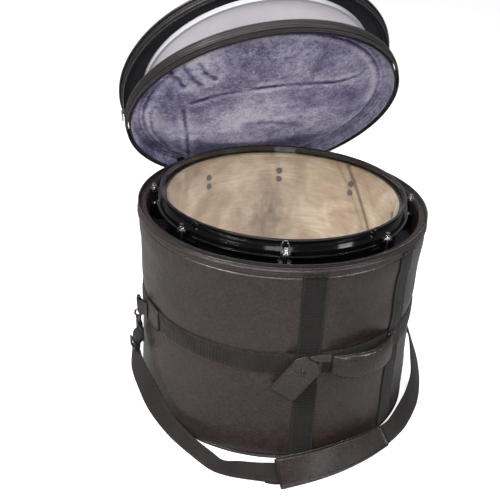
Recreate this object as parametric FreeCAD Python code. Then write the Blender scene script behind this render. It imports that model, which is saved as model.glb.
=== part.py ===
import FreeCAD, Part
import os, math
from FreeCAD import Vector as V

# A 16 x 14 inch floor tom standing in its padded, zip-lidded carry bag.
# Frame: origin at the centre of the bag's base on the floor, +Z up, the side
# with the carry handle and luggage tag faces -Y. Azimuth 0 is the front (-Y)
# and grows towards +X. Millimetres.

# ---------------------------------------------------------------- dimensions
BAG_PROFILE = [(0, 250.5), (12, 251.6), (40, 250.6), (90, 248.0), (140, 245.4),
               (187, 244.3), (240, 244.6), (290, 245.6), (330, 246.6), (356, 247.2)]
WALL_TOP = 356.0
T_VINYL, T_FOAM, T_PLUSH = 1.5, 8.0, 3.0
GAP = 0.1

DRUM_BOTTOM = 7.0          # lower hoop edge on the compressed base padding
DRUM_TOP = 385.0           # upper hoop edge
HEAD_DROP = 12.0           # hoop edge to head plane
SHELL_R, SHELL_T = 202.0, 7.0
ROD_R = 222.5              # tension rod pitch radius
N_LUGS = 8
MID = 0.5 * (DRUM_BOTTOM + DRUM_TOP)

COIL_R, COIL_T = 246.8, 1.2
BAG_COIL_Z, LID_COIL_Z = 364.2, 367.9
POCKET_COIL_LID_Z, POCKET_COIL_COVER_Z = 389.4, 393.1

HINGE_AZ = 180.0 + 17.5    # azimuth of the lid hinge (rear, towards -X)
FLAP_LEN = 51.3
FLAP_ROOT = (254.5, 311.7) # radial distance, height of the lower fold line
FLAP_FOLD = 124.7          # flap angle from upright when the lid is open
LID_OPEN = 46.5            # lid angle from horizontal when open
COVER_OPEN = 7.0           # pocket cover gape at rest
HEAD_LEAN = 5.5            # spare head leans most of the way with the cover

BELT_Z = (168.0, 206.0)
WEB_AZ = (10.5, 51.0)
WEB_HALF = 4.45            # degrees, 38 mm webbing
RING_AZ = (-69.0, 111.0)
RING_Z = 187.0
RING_RAD = 256.4

# ------------------------------------------------------------------- helpers
def pol(az, r, z=0.0):
    a = math.radians(az)
    return V(r * math.sin(a), -r * math.cos(a), z)


def revolve(pts, az0=None, az1=None):
    """Solid from a closed (radius, height) outline turned about Z."""
    w = Part.makePolygon([V(r, 0, z) for r, z in pts] + [V(pts[0][0], 0, pts[0][1])])
    f = Part.Face(w)
    if az0 is None:
        return f.revolve(V(0, 0, 0), V(0, 0, 1), 360)
    s = f.revolve(V(0, 0, 0), V(0, 0, 1), az1 - az0)
    s.rotate(V(0, 0, 0), V(0, 0, 1), az0 - 90)
    return s


def ring(r0, r1, z0, z1, az0=None, az1=None):
    return revolve([(r0, z0), (r1, z0), (r1, z1), (r0, z1)], az0, az1)


def disc(r, z0, z1):
    return Part.makeCylinder(r, z1 - z0, V(0, 0, z0))


def torus(R, r, z, az0=None, az1=None):
    t = Part.makeTorus(R, r)
    t.translate(V(0, 0, z))
    return t


def wall_r(z):
    p = BAG_PROFILE
    if z <= p[0][0]:
        return p[0][1]
    for (z0, r0), (z1, r1) in zip(p, p[1:]):
        if z <= z1:
            return r0 + (r1 - r0) * (z - z0) / (z1 - z0)
    return p[-1][1]


def wall_band(off0, off1, z0, z1, az0=None, az1=None):
    """A layer that follows the bag wall between two offsets."""
    zs = [z0] + [z for z, _ in BAG_PROFILE if z0 < z < z1] + [z1]
    pts = [(wall_r(z) + off0, z) for z in zs] + [(wall_r(z) + off1, z) for z in reversed(zs)]
    return revolve(pts, az0, az1)


def box_at(az, r0, r1, half, z0, z1):
    """A block with flat sides standing on a radius, half its width each way."""
    b = Part.makeBox(r1 - r0, 2 * half, z1 - z0, V(r0, -half, z0))
    b.rotate(V(0, 0, 0), V(0, 0, 1), az - 90)
    return b


def tube_z(x, y, r0, r1, z0, z1):
    s = Part.makeCylinder(r1, z1 - z0, V(x, y, z0))
    if r0:
        s = s.cut(Part.makeCylinder(r0, z1 - z0 + 2, V(x, y, z0 - 1)))
    return s


def group(shapes):
    out = []
    for s in shapes:
        out += s.Solids
    return Part.makeCompound(out) if len(out) > 1 else out[0]


def around(fn, n=N_LUGS, first=0.0):
    return [fn(first + 360.0 * i / n) for i in range(n)]


def catmull(P, sub):
    out = []
    n = len(P)
    for i in range(n - 1):
        p0 = P[max(i - 1, 0)]
        p1, p2 = P[i], P[i + 1]
        p3 = P[min(i + 2, n - 1)]
        for k in range(sub):
            t = k / sub
            out.append((p1 * 2 + (p2 - p0) * t + (p0 * 2 - p1 * 5 + p2 * 4 - p3) * t * t
                        + (p1 * 3 - p0 - p2 * 3 + p3) * t ** 3) * 0.5)
    out.append(P[-1])
    return out


def ribbon(A, B, thick, sub=3, flip=1):
    """Flat strap of a given thickness between two edge lines."""
    A = catmull([V(*p) for p in A], sub)
    B = catmull([V(*p) for p in B], sub)
    n = len(A)
    rows = []
    for i in range(n):
        m0 = (A[max(i - 1, 0)] + B[max(i - 1, 0)]) * 0.5
        m1 = (A[min(i + 1, n - 1)] + B[min(i + 1, n - 1)]) * 0.5
        t = (m1 - m0).normalize()
        w = (B[i] - A[i])
        nn = t.cross(w).normalize() * (0.5 * thick * flip)
        rows.append([A[i] + nn, B[i] + nn, B[i] - nn, A[i] - nn])
    faces = []

    def tri(a, b, c):
        faces.append(Part.Face(Part.makePolygon([a, b, c, a])))

    for i in range(n - 1):
        for k in range(4):
            a, b = rows[i][k], rows[i][(k + 1) % 4]
            c, d = rows[i + 1][(k + 1) % 4], rows[i + 1][k]
            tri(a, b, c)
            tri(a, c, d)
    for r in (rows[0], rows[-1]):
        tri(r[0], r[1], r[2])
        tri(r[0], r[2], r[3])
    sh = Part.makeShell(faces)
    sh.sewShape()
    s = Part.Solid(sh)
    if s.Volume < 0:
        s.reverse()
    return s


def mirror_z(s):
    return s.mirror(V(0, 0, MID), V(0, 0, 1))


def hinge_frame():
    h = pol(HINGE_AZ, 1.0)
    ax = V(0, 0, 1).cross(h)      # turning by +angle about ax swings +Z towards h
    return h, ax


H, AX = hinge_frame()


def place_lid(s, extra=None):
    """Carry a piece from the closed lid to the open rest pose."""
    s = s.copy()
    if extra:
        for centre, ang in extra:
            s.rotate(centre, AX, ang)
    E = H * FLAP_ROOT[0] + V(0, 0, FLAP_ROOT[1] + FLAP_LEN)
    a = math.radians(FLAP_FOLD)
    E2 = (H * (FLAP_ROOT[0] + FLAP_LEN * math.sin(a))
          + V(0, 0, FLAP_ROOT[1] + FLAP_LEN * math.cos(a)))
    s.rotate(E, AX, LID_OPEN)
    s.translate(E2 - E)
    return s


N = {}

# ------------------------------------------------------------- bag: base, wall
N["bag_base_panel"] = disc(247.0, 0.0, 1.6)
N["bag_base_foam"] = disc(236.0, 1.7, 4.7)
N["bag_base_lining"] = disc(236.0, 4.8, 6.8)
N["bag_base_piping"] = torus(249.6, 2.1, 2.1)
o1 = -T_VINYL
o2 = o1 - GAP - T_FOAM
o3 = o2 - GAP - T_PLUSH
N["bag_wall_vinyl"] = wall_band(o1, 0.0, 4.4, WALL_TOP)
N["bag_wall_foam"] = wall_band(o2, o1 - GAP, 4.4, WALL_TOP)
N["bag_wall_lining"] = wall_band(o3, o2 - GAP, 7.0, WALL_TOP)
N["bag_rim_facing"] = revolve([(234.2, WALL_TOP + 0.1), (247.6, WALL_TOP + 0.1),
                               (248.3, WALL_TOP + 0.9), (247.6, WALL_TOP + 1.7),
                               (234.8, WALL_TOP + 2.6), (234.2, WALL_TOP + 1.4)])
N["bag_zip"] = group([ring(COIL_R - 0.5, COIL_R + 0.5, 357.9, BAG_COIL_Z - COIL_T - 0.05),
                      torus(COIL_R, COIL_T, BAG_COIL_Z)])

# ------------------------------------------------------------ bag: webbing etc
N["belt_webbing"] = wall_band(GAP, 1.7, BELT_Z[0], BELT_Z[1])
N["upright_webbing"] = group([wall_band(1.8, 3.4, 8.0, 352.0, a - WEB_HALF, a + WEB_HALF) for a in WEB_AZ])
patches, loops = [], []
for a, sgn in ((RING_AZ[0], 1), (RING_AZ[1], -1)):
    # rounded tab, on the front side of its ring
    lo, hi = (a + 3.4, a + 15.5) if sgn > 0 else (a - 15.5, a - 3.4)
    p = wall_band(1.8, 3.8, 163.5, 210.5, lo, hi)
    patches.append(p)
    t = V(math.cos(math.radians(a)), math.sin(math.radians(a)), 0)
    c = pol(a, RING_RAD)
    lp = Part.makeCylinder(4.1, 27.0, c + V(0, 0, RING_Z - 13.5))
    lp = lp.cut(Part.makeCylinder(2.55, 29.0, c + V(0, 0, RING_Z - 14.5)))
    loops.append(lp)
N["ring_patches"] = group(patches)
N["ring_loops"] = group(loops)
N["handle_tabs"] = group([wall_band(3.5, 7.0, 169.0, 205.0, 14.2, 18.4),
                          wall_band(3.5, 7.0, 169.0, 205.0, 45.8, 50.0)])

# --------------------------------------------------------------- carry handle
st = []
for i in range(9):
    t = i / 8.0
    az = 18.9 + (45.3 - 18.9) * t
    r = 254.6 + 15.0 * math.sin(math.pi * t) ** 0.8
    hh = 17.0 + 5.0 * min(1.0, 4 * t, 4 * (1 - t))
    st.append((pol(az, r, 188 + hh), pol(az, r, 188 - hh)))
N["carry_handle"] = ribbon([tuple(a) for a, b in st], [tuple(b) for a, b in st], 7.0, sub=2)

# -------------------------------------------------------------- luggage tag
def tag_plane(pts, y, t):
    w = Part.makePolygon([V(x, y, z) for x, z in pts] + [V(pts[0][0], y, pts[0][1])])
    return Part.Face(w).extrude(V(0, -t, 0))

u = V(-0.545, 0, -0.838)
w = V(0.838, 0, -0.545)
TAG_TOP = V(50.5, 0, 206.5)


def tagpt(l, s):
    p = TAG_TOP + u * l + w * s
    return (p.x, p.z)


outl = [tagpt(0, -13), tagpt(0, 13), tagpt(14, 22.5), tagpt(78, 22.5), tagpt(82, 18.5),
        tagpt(82, -18.5), tagpt(78, -22.5), tagpt(14, -22.5)]
N["luggage_tag"] = tag_plane(outl, -255.4, 4.6)
snap = Part.makeCylinder(4.2, 2.2, V(*[tagpt(24, 0)[0], -260.05, tagpt(24, 0)[1]]), V(0, -1, 0))
tag_strap = ribbon([(45.0, -258.6, 213.5), (53.0, -259.6, 217.5), (66.0, -261.6, 221.5), (77.0, -262.9, 223.0)],
                        [(52.5, -258.6, 206.8), (58.0, -259.6, 207.5), (68.5, -261.6, 208.8), (77.0, -262.9, 210.0)], 2.2)
N["tag_strap"] = group([tag_strap, snap])

# ------------------------------------------------------- shoulder strap and pad
LA = [(-243, -103, 116), (-238, -108, 96), (-228, -124, 84), (-205, -155, 68), (-187, -177, 49), (-167, -202, 34),
      (-145, -226, 30), (-121, -243, 20), (-98, -258, 13), (-80, -274, 14), (-55, -270, 9), (-28, -268, 6), (0, -267, 6)]
LB = [(-256, -68, 116), (-258, -77, 88), (-256, -103, 58), (-233, -153, 42), (-215, -174, 22), (-191, -198, 7),
      (-162, -230, 4), (-118, -273, 4), (-97, -289, 4), (-76, -297, 4), (-52, -302, 4), (-28, -305, 4), (2, -308, 4)]
N["strap_left"] = ribbon(LA, LB, 2.4)
PA = [(4, -266, 11), (55, -257, 20), (104, -239, 26), (149, -212.5, 24), (186, -181, 18)]
PB = [(14, -322, 6.5), (64, -303, 6.5), (112, -279, 6.5), (158, -248, 6.5), (197, -215, 6.5)]
N["strap_pad"] = ribbon(PA, PB, 8.0)
RA = [(189, -178, 15), (204, -164, 18), (223, -136, 24), (245, -99, 33), (259, -60, 47), (263, -20, 64), (264, 18, 82), (259, 52, 97), (255, 67, 116)]
RB = [(199, -210, 4), (217, -190, 4), (240, -159, 4), (266, -107, 6), (280, -58, 15), (283, -8, 33), (276, 38, 52), (256, 86, 86), (243, 101, 116)]
N["strap_right"] = ribbon(RA, RB, 2.4)
# tri-glide slider on the left run of webbing
def rect_frame(c, ex, ey, n, wx, wy, bar, t):
    def quad(hx, hy):
        p = [c + ex * hx + ey * hy, c + ex * hx - ey * hy, c - ex * hx - ey * hy, c - ex * hx + ey * hy]
        return Part.Face(Part.makePolygon(p + [p[0]]))
    o = quad(wx, wy).extrude(n * t)
    i = quad(wx - bar, wy - bar).extrude(n * t)
    return o.cut(i)

def strap_mid(A, B, k):
    a, b = V(*A[k]), V(*B[k])
    return (a + b) * 0.5, (b - a).normalize()

c, ey = strap_mid(LA, LB, 0)
c2, _ = strap_mid(LA, LB, 1)
ex = (c2 - c).normalize()
nn = ex.cross(ey).normalize()
if nn.dot(V(c.x, c.y, 0)) < 0:
    nn = nn * -1
ey2 = nn.cross(ex).normalize()
N["strap_adjuster"] = rect_frame(c + ex * 12 + nn * 4.4, ex, ey2, nn, 8.5, 22.5, 3.4, 3.0)

# --------------------------------------------- D-rings, swivel snap hooks, eyes
eyes = []
for name, a, sgn in (("left", RING_AZ[0], -1), ("right", RING_AZ[1], 1)):
    c = pol(a, RING_RAD, RING_Z)
    t = V(math.cos(math.radians(a)), math.sin(math.radians(a)), 0) * sgn  # rearwards along the wall
    rad = pol(a, 1.0)
    z = V(0, 0, 1)
    r = 17.0
    # swept round wire: straight bar plus half torus, ends rounded by balls
    bar = Part.makeCylinder(2.3, 2 * r, c - z * r)
    # build the half torus by turning a circle about the radial direction
    circ = Part.Face(Part.Wire(Part.makeCircle(2.3, c + z * r, t)))
    half = circ.revolve(c, rad, 180 if sgn > 0 else -180)
    if half.CenterOfMass.sub(c).dot(t) < 0:
        half = circ.revolve(c, rad, -180 if sgn > 0 else 180)
    balls = [Part.makeSphere(2.5, c + z * r), Part.makeSphere(2.5, c - z * r)]
    s = bar.fuse([half] + balls)
    N["d_ring_" + name] = s
    # hook ring around the wire, below its lowest run
    hc = c + t * 7.0 + z * (-15.49 - 2.7)
    rm, rw = 7.5, 1.9
    p0 = hc + rad * rm
    circ = Part.Face(Part.Wire(Part.makeCircle(rw, p0, z)))
    axis = rad.cross(z)
    full = circ.revolve(hc, axis, 360)
    # gate sector on the outer side, from 20 degrees below to 62 degrees above level
    def sector(a0, a1):
        q = circ.copy()
        q.rotate(hc, axis, a0)
        return q.revolve(hc, axis, a1 - a0)
    probe = circ.copy(); probe.rotate(hc, axis, 40)
    up = 1 if probe.CenterOfMass.z > hc.z else -1
    g0, g1 = -30.0, 28.0
    gate = sector(g0 * up, g1 * up)
    hook = sector((g1 + 4) * up, (g0 - 4 + 360) * up)
    neck = Part.makeCylinder(3.2, 12.6, hc - z * 20.6)
    shank = Part.makeCylinder(2.0, 12.0, hc - z * 31.6)
    cap = Part.makeCylinder(3.6, 2.4, hc - z * 33.4)
    N["snap_hook_" + name] = hook.fuse([neck, shank, cap]).removeSplitter()
    N["hook_gate_" + name] = gate
    # rectangular eye the strap is sewn round; the hook's shank turns in its top bar
    ec = hc + V(0, 0, 0)
    def blk(hx, y0, y1, z0, z1):
        b = Part.makeBox(2 * hx, y1 - y0, z1 - z0, V(-hx, y0, z0))
        return b
    ang = math.degrees(math.atan2(t.y, t.x))
    body = blk(22.5, -2.6, 2.6, -48.0, -21.2).cut(blk(19.0, -5, 5, -44.5, -28.0))
    body = body.fuse(blk(6.0, -4.2, 4.2, -30.0, -21.2))
    body = body.cut(Part.makeCylinder(2.06, 30.0, V(0, 0, -45)))
    body = body.cut(Part.makeBox(18, 12, 10.0, V(-9, -6, -40.0)))
    body.rotate(V(0, 0, 0), V(0, 0, 1), ang)
    body.translate(ec)
    eyes.append(body)
N["strap_eyes"] = group(eyes)

# -------------------------------------------------------------- hinge of the lid
hz0, hz1 = FLAP_ROOT[1] - 26.0, FLAP_ROOT[1] - 2.3
b = box_at(HINGE_AZ, 225.0, 254.0, 60.0, hz0, hz1)
cutter = revolve([(0, hz0 - 5), (wall_r(hz0 - 5) + GAP, hz0 - 5), (wall_r(hz1 + 5) + GAP, hz1 + 5), (0, hz1 + 5)])
N["hinge_anchor"] = b.cut(cutter)
flap = box_at(HINGE_AZ, FLAP_ROOT[0] - 1.2, FLAP_ROOT[0] + 1.2, 60.0, FLAP_ROOT[1] + 1.5, FLAP_ROOT[1] + FLAP_LEN - 1.5)
Fp = H * FLAP_ROOT[0] + V(0, 0, FLAP_ROOT[1])
flap.rotate(Fp, AX, FLAP_FOLD)
N["hinge_flap"] = flap

# -------------------------------------------------------------------- lid body
lid = {}
lid["lid_zip"] = group([torus(COIL_R, COIL_T, LID_COIL_Z),
                        ring(COIL_R - 0.5, COIL_R + 0.5, LID_COIL_Z + COIL_T + 0.05, 374.0)])
lid["lid_skirt"] = ring(245.6, 249.0, 374.1, 386.0)
lid["lid_lining"] = revolve([(0, 388.5), (238.9, 388.5), (238.9, 370.4), (240.0, 369.4), (242.2, 369.8),
                             (243.2, 371.5), (243.2, 391.5), (0, 391.5)])
lid["lid_divider"] = disc(243.2, 391.6, 393.4)
lid["lid_pocket_zip"] = group([ring(COIL_R - 0.5, COIL_R + 0.5, 386.1, POCKET_COIL_LID_Z - COIL_T - 0.05),
                               torus(COIL_R, COIL_T, POCKET_COIL_LID_Z)])
E_Z = FLAP_ROOT[1] + FLAP_LEN
pad = box_at(HINGE_AZ, 225.0, 254.0, 60.0, E_Z + 12.0, E_Z + 22.8)
lid["lid_hinge_pad"] = pad.cut(disc(249.1, E_Z, E_Z + 40)).fuse(
    box_at(HINGE_AZ, 251.0, 254.0, 60.0, E_Z + 2.4, E_Z + 12.5).cut(disc(250.3, E_Z, E_Z + 40))).removeSplitter()
for k, s in lid.items():
    N[k] = place_lid(s)

# ------------------------------------------------------- pocket cover, spare head
COVER_HINGE = H * 251.5 + V(0, 0, 391.2)
cov = {}
cov["cover_zip"] = group([torus(COIL_R, COIL_T, POCKET_COIL_COVER_Z),
                          ring(COIL_R - 0.5, COIL_R + 0.5, POCKET_COIL_COVER_Z + COIL_T + 0.05, 397.0)])
cov["cover_shell"] = revolve([(245.7, 397.1), (249.2, 397.1), (249.2, 409.0), (0, 413.0), (0, 411.0), (245.7, 407.3)])
cov["cover_lining"] = revolve([(0, 408.0), (241.5, 405.6), (241.5, 398.0), (245.4, 398.0), (245.4, 407.1), (0, 410.8)])
cov["cover_piping"] = torus(251.4, 2.0, 408.0)
for k, s in cov.items():
    N[k] = place_lid(s, [(COVER_HINGE, COVER_OPEN)])
HEAD_C = H * -24.0
def head_local(s):
    s = s.copy()
    s.translate(HEAD_C + AX * 6.0)
    return s
sp = {}
sp["spare_head_hoop"] = revolve([(203.6, 394.3), (208.3, 394.3), (208.3, 403.4), (203.6, 403.4)])
sp["spare_head_film"] = revolve([(0, 402.4), (203.3, 402.4), (203.3, 395.0), (203.5, 395.0), (203.5, 402.7), (0, 402.7)])
for k, s in sp.items():
    N[k] = place_lid(head_local(s), [(COVER_HINGE, HEAD_LEAN)])

# ------------------------------------------------------------------ zip sliders
def slider(R, z, az, inward=1.15):
    """Two plates joined by a thin web between the two coils."""
    a0, a1 = az - 1.7, az + 1.7
    ip = ring(R - 3.1, R - 2.1, z - 4.6, z + 4.6, a0, a1)
    op = ring(R + 2.1, R + 3.1, z - 4.6, z + 4.6, a0, a1)
    web = ring(R - 2.2, R + 2.2, z - 0.42, z + 0.42, a0 + 1.0, a1 - 1.0)
    lug = ring(R + 3.05, R + 5.0, z - 1.2, z + 3.6, az - 0.55, az + 0.55)
    return ip.fuse([op, web, lug]).removeSplitter()


def pull(R, z, az, length=28.0):
    p = ring(R + 5.4, R + 7.0, z - 2.0 - length, z - 2.0, az - 0.9, az + 0.9)
    k = ring(R + 5.05, R + 7.2, z - 2.1, z + 3.0, az - 0.7, az + 0.7)
    return p.fuse(k).removeSplitter()


zb = 0.5 * (BAG_COIL_Z + LID_COIL_Z)
S_OFF = 34.0
for name, az in (("left", HINGE_AZ + S_OFF), ("right", HINGE_AZ - S_OFF)):
    N["zip_slider_" + name] = group([slider(COIL_R, zb, az), pull(COIL_R, zb, az)])
zp = 0.5 * (POCKET_COIL_LID_Z + POCKET_COIL_COVER_Z)
for name, az in (("left", -74.0), ("right", 112.0)):
    N["pocket_slider_" + name] = place_lid(group([slider(COIL_R, zp, az), pull(COIL_R, zp, az, 13.0)]))

# ----------------------------------------------------------------------- drum
zs0, zs1 = DRUM_BOTTOM + HEAD_DROP, DRUM_TOP - HEAD_DROP
shell = revolve([(SHELL_R - SHELL_T, zs0 + 2.0), (SHELL_R - 2.5, zs0), (SHELL_R, zs0 + 2.5),
                 (SHELL_R, zs1 - 2.5), (SHELL_R - 2.5, zs1), (SHELL_R - SHELL_T, zs1 - 2.0)])
LUG_Z = 329.0
screw_z = (LUG_Z + 9.0, LUG_Z - 9.0)
holes = []
for a in [45.0 * i for i in range(N_LUGS)]:
    for zc in [z for z in screw_z] + [2 * MID - z for z in screw_z]:
        holes.append(Part.makeCylinder(2.35, 20, pol(a, SHELL_R - 15, zc), pol(a, 1)))
vent_az = 22.5
holes.append(Part.makeCylinder(6.1, 20, pol(vent_az, SHELL_R - 15, MID), pol(vent_az, 1)))
N["drum_shell"] = shell.cut(Part.makeCompound(holes))
vent = Part.makeCylinder(6.0, 10.6, pol(vent_az, SHELL_R - 8.9, MID), pol(vent_az, 1))
vent = vent.fuse(Part.makeCylinder(9.0, 1.6, pol(vent_az, SHELL_R + 0.15, MID), pol(vent_az, 1)))
vent = vent.fuse(Part.makeCylinder(8.0, 1.2, pol(vent_az, SHELL_R - 8.9, MID), pol(vent_az, 1)))
vent = vent.cut(Part.makeCylinder(4.5, 20, pol(vent_az, SHELL_R - 12, MID), pol(vent_az, 1)))
N["air_vent"] = vent

film = revolve([(0, zs1 + 0.1), (204.2, zs1 + 0.1), (204.2, zs1 - 6.0), (204.6, zs1 - 6.0), (204.6, zs1 + 0.4), (0, zs1 + 0.4)])
flesh = revolve([(203.0, zs1 - 13.0), (209.4, zs1 - 13.0), (209.4, zs1 - 6.4), (203.0, zs1 - 6.4)])
N["batter_head"] = film
N["batter_head_hoop"] = flesh
N["resonant_head"] = mirror_z(film)
N["resonant_head_hoop"] = mirror_z(flesh)
# triple-flanged hoop with eight eared rod seats
prof = [(205.6, zs1 - 6.2), (211.8, zs1 - 6.2), (211.8, zs1 - 14.5), (216.0, zs1 - 15.5), (216.0, zs1 - 13.4),
        (213.8, zs1 - 12.8), (213.8, zs1 - 4.2), (207.8, zs1 - 4.2), (207.8, zs1 + 9.6), (211.0, zs1 + 10.4),
        (211.0, zs1 + 12.0), (206.4, zs1 + 12.0), (205.6, zs1 + 11.0)]
hoop = revolve(prof)
EAR_Z = zs1 - 4.2
ears = []
for a in [45.0 * i for i in range(N_LUGS)]:
    e = box_at(a, 212.5, ROD_R, 7.4, EAR_Z - 2.6, EAR_Z)
    e = e.fuse(Part.makeCylinder(7.4, 2.6, pol(a, ROD_R, EAR_Z - 2.6)))
    e = e.fuse(box_at(a, 212.5, 214.6, 15.0, zs1 - 13.0, EAR_Z))
    e = e.cut(Part.makeCylinder(3.1, 8, pol(a, ROD_R, EAR_Z - 5)))
    ears.append(e)
hoop = hoop.fuse(ears).removeSplitter()
N["top_hoop"] = hoop
N["bottom_hoop"] = mirror_z(hoop)


def rod(a):
    p = pol(a, ROD_R)
    z = EAR_Z + 1.5
    s = Part.makeCylinder(5.4, 1.8, V(p.x, p.y, z + 0.05))
    head = Part.makeBox(5.6, 5.6, 6.4, V(-2.8, -2.8, 0))
    head.rotate(V(0, 0, 0), V(0, 0, 1), a)
    head.translate(V(p.x, p.y, z + 1.6))
    s = s.fuse(Part.makeCylinder(3.9, 3.2, V(p.x, p.y, z + 1.6))).fuse(head)
    s = s.fuse(Part.makeCylinder(2.7, z - (LUG_Z - 8.0) + 0.2, V(p.x, p.y, LUG_Z - 8.0)))
    return s.removeSplitter()


def washer(a):
    p = pol(a, ROD_R)
    return tube_z(p.x, p.y, 2.95, 6.6, EAR_Z + 0.1, EAR_Z + 1.4)


def lug(a):
    body = box_at(a, SHELL_R + 0.2, ROD_R - 1.5, 9.0, LUG_Z - 15.0, LUG_Z + 15.0)
    p = pol(a, ROD_R)
    body = body.fuse(Part.makeCylinder(7.6, 26.0, V(p.x, p.y, LUG_Z - 12.0)))
    body = body.fuse(box_at(a, SHELL_R + 0.2, SHELL_R + 2.8, 11.0, LUG_Z - 17.0, LUG_Z + 17.0))
    body = body.cut(Part.makeCylinder(4.75, 28.0, V(p.x, p.y, LUG_Z - 9.9)))
    body = body.cut(disc(SHELL_R + 0.1, LUG_Z - 30, LUG_Z + 30))
    for zc in screw_z:
        body = body.cut(Part.makeCylinder(2.1, 7.0, pol(a, SHELL_R - 1, zc), pol(a, 1)))
    return body


def insert(a):
    p = pol(a, ROD_R)
    return tube_z(p.x, p.y, 2.76, 4.7, LUG_Z - 4.0, LUG_Z + 13.9)


def screw(a, zc):
    s = Part.makeCylinder(2.0, SHELL_T + 4.6, pol(a, SHELL_R - SHELL_T - 0.2, zc), pol(a, 1))
    s = s.fuse(Part.makeCylinder(5.8, 2.0, pol(a, SHELL_R - SHELL_T - 2.3, zc), pol(a, 1)))
    return s.removeSplitter()


rods = around(rod)
wash = around(washer)
lugs = around(lug)
ins = around(insert)
scr = [screw(45.0 * i, zc) for i in range(N_LUGS) for zc in screw_z]
N["tension_rods_top"] = group(rods)
N["tension_rods_bottom"] = group([mirror_z(s) for s in rods])
N["rod_washers"] = group(wash + [mirror_z(s) for s in wash])
N["lugs"] = group(lugs + [mirror_z(s) for s in lugs])
N["lug_inserts"] = group(ins + [mirror_z(s) for s in ins])
N["lug_screws"] = group(scr + [mirror_z(s) for s in scr])

os.makedirs("parts", exist_ok=True)
for old in os.listdir("parts"):
    if old.endswith(".step"):
        os.remove(os.path.join("parts", old))
for name, s in N.items():
    bad = [x for x in s.Solids if not x.isValid() or x.Volume <= 0]
    print(name, len(s.Solids), round(sum(x.Volume for x in s.Solids) / 1000.0, 2), "BAD" if bad or not s.Solids else "")
    s.exportStep("parts/" + name + ".step")
print(len(N), "nodes")
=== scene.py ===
import bpy
import math
import numpy as np
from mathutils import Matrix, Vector


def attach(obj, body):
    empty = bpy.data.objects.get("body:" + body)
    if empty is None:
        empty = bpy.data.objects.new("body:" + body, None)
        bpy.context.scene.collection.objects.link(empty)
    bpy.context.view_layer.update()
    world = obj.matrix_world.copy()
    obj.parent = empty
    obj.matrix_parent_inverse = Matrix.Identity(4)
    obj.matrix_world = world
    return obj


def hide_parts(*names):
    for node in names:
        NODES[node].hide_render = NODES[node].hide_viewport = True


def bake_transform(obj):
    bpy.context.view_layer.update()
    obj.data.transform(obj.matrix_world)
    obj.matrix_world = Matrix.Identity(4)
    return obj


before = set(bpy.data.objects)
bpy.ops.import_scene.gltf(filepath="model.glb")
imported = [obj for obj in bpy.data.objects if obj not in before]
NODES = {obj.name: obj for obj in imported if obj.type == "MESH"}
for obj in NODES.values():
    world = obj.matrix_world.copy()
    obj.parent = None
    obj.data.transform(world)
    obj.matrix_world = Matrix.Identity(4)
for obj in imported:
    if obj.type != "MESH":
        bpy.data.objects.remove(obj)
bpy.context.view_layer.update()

# Padded carry bag with an open zip lid and a floor tom inside. Metres, +Z up,
# azimuth 0 = front (-Y), growing towards +X.

RNG = np.random.default_rng(11)

# ------------------------------------------------------------------ CAD numbers
PROFILE = [(0, 250.5), (12, 251.6), (40, 250.6), (90, 248.0), (140, 245.4),
           (187, 244.3), (240, 244.6), (290, 245.6), (330, 246.6), (356, 247.2)]
WALL_TOP = 356.0
COIL_R, BAG_COIL_Z, LID_COIL_Z = 246.8, 364.2, 367.9
PC_LID_Z, PC_COVER_Z = 389.4, 393.1
HINGE_AZ = 197.5
ROOT_R, ROOT_Z, FLAP_LEN, FLAP_FOLD, LID_OPEN = 254.5, 311.7, 51.3, 124.7, 46.5
COVER_OPEN = 7.0
RING_RAD, RING_Z = 256.4, 187.0
LA = [(-243, -103, 116), (-238, -108, 96), (-228, -124, 84), (-205, -155, 68), (-187, -177, 49), (-167, -202, 34),
      (-145, -226, 30), (-121, -243, 20), (-98, -258, 13), (-80, -274, 14), (-55, -270, 9), (-28, -268, 6), (0, -267, 6)]
LB = [(-256, -68, 116), (-258, -77, 88), (-256, -103, 58), (-233, -153, 42), (-215, -174, 22), (-191, -198, 7),
      (-162, -230, 4), (-118, -273, 4), (-97, -289, 4), (-76, -297, 4), (-52, -302, 4), (-28, -305, 4), (2, -308, 4)]
PA = [(4, -266, 11), (55, -257, 20), (104, -239, 26), (149, -212.5, 24), (186, -181, 18)]
PB = [(14, -322, 6.5), (64, -303, 6.5), (112, -279, 6.5), (158, -248, 6.5), (197, -215, 6.5)]
RA = [(189, -178, 15), (204, -164, 18), (223, -136, 24), (245, -99, 33), (259, -60, 47), (263, -20, 64), (264, 18, 82), (259, 52, 97), (255, 67, 116)]
RB = [(199, -210, 4), (217, -190, 4), (240, -159, 4), (266, -107, 6), (280, -58, 15), (283, -8, 33), (276, 38, 52), (256, 86, 86), (243, 101, 116)]

# ------------------------------------------------------------------------ maths
def pol(az, r, z):
    """Degrees and millimetres in, millimetre points out (arrays allowed)."""
    a = np.radians(az)
    r, z, a = np.broadcast_arrays(np.asarray(r, float), np.asarray(z, float), np.asarray(a, float))
    return np.stack([r * np.sin(a), -r * np.cos(a), z], -1)


HV = pol(HINGE_AZ, 1.0, 0.0)
AXV = np.cross([0, 0, 1.0], HV)


def rot_about(P, centre, axis, deg):
    a = math.radians(deg)
    k = np.asarray(axis, float) / np.linalg.norm(axis)
    Q = np.asarray(P, float) - centre
    out = Q * math.cos(a) + np.cross(k, Q) * math.sin(a) + np.outer(Q.reshape(-1, 3) @ k, k).reshape(Q.shape) * (1 - math.cos(a))
    return out + centre


E1 = HV * ROOT_R + np.array([0, 0, ROOT_Z + FLAP_LEN])
_f = math.radians(FLAP_FOLD)
E2 = HV * (ROOT_R + FLAP_LEN * math.sin(_f)) + np.array([0, 0, ROOT_Z + FLAP_LEN * math.cos(_f)])
COVER_HINGE = HV * 251.5 + np.array([0, 0, 391.2])


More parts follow.
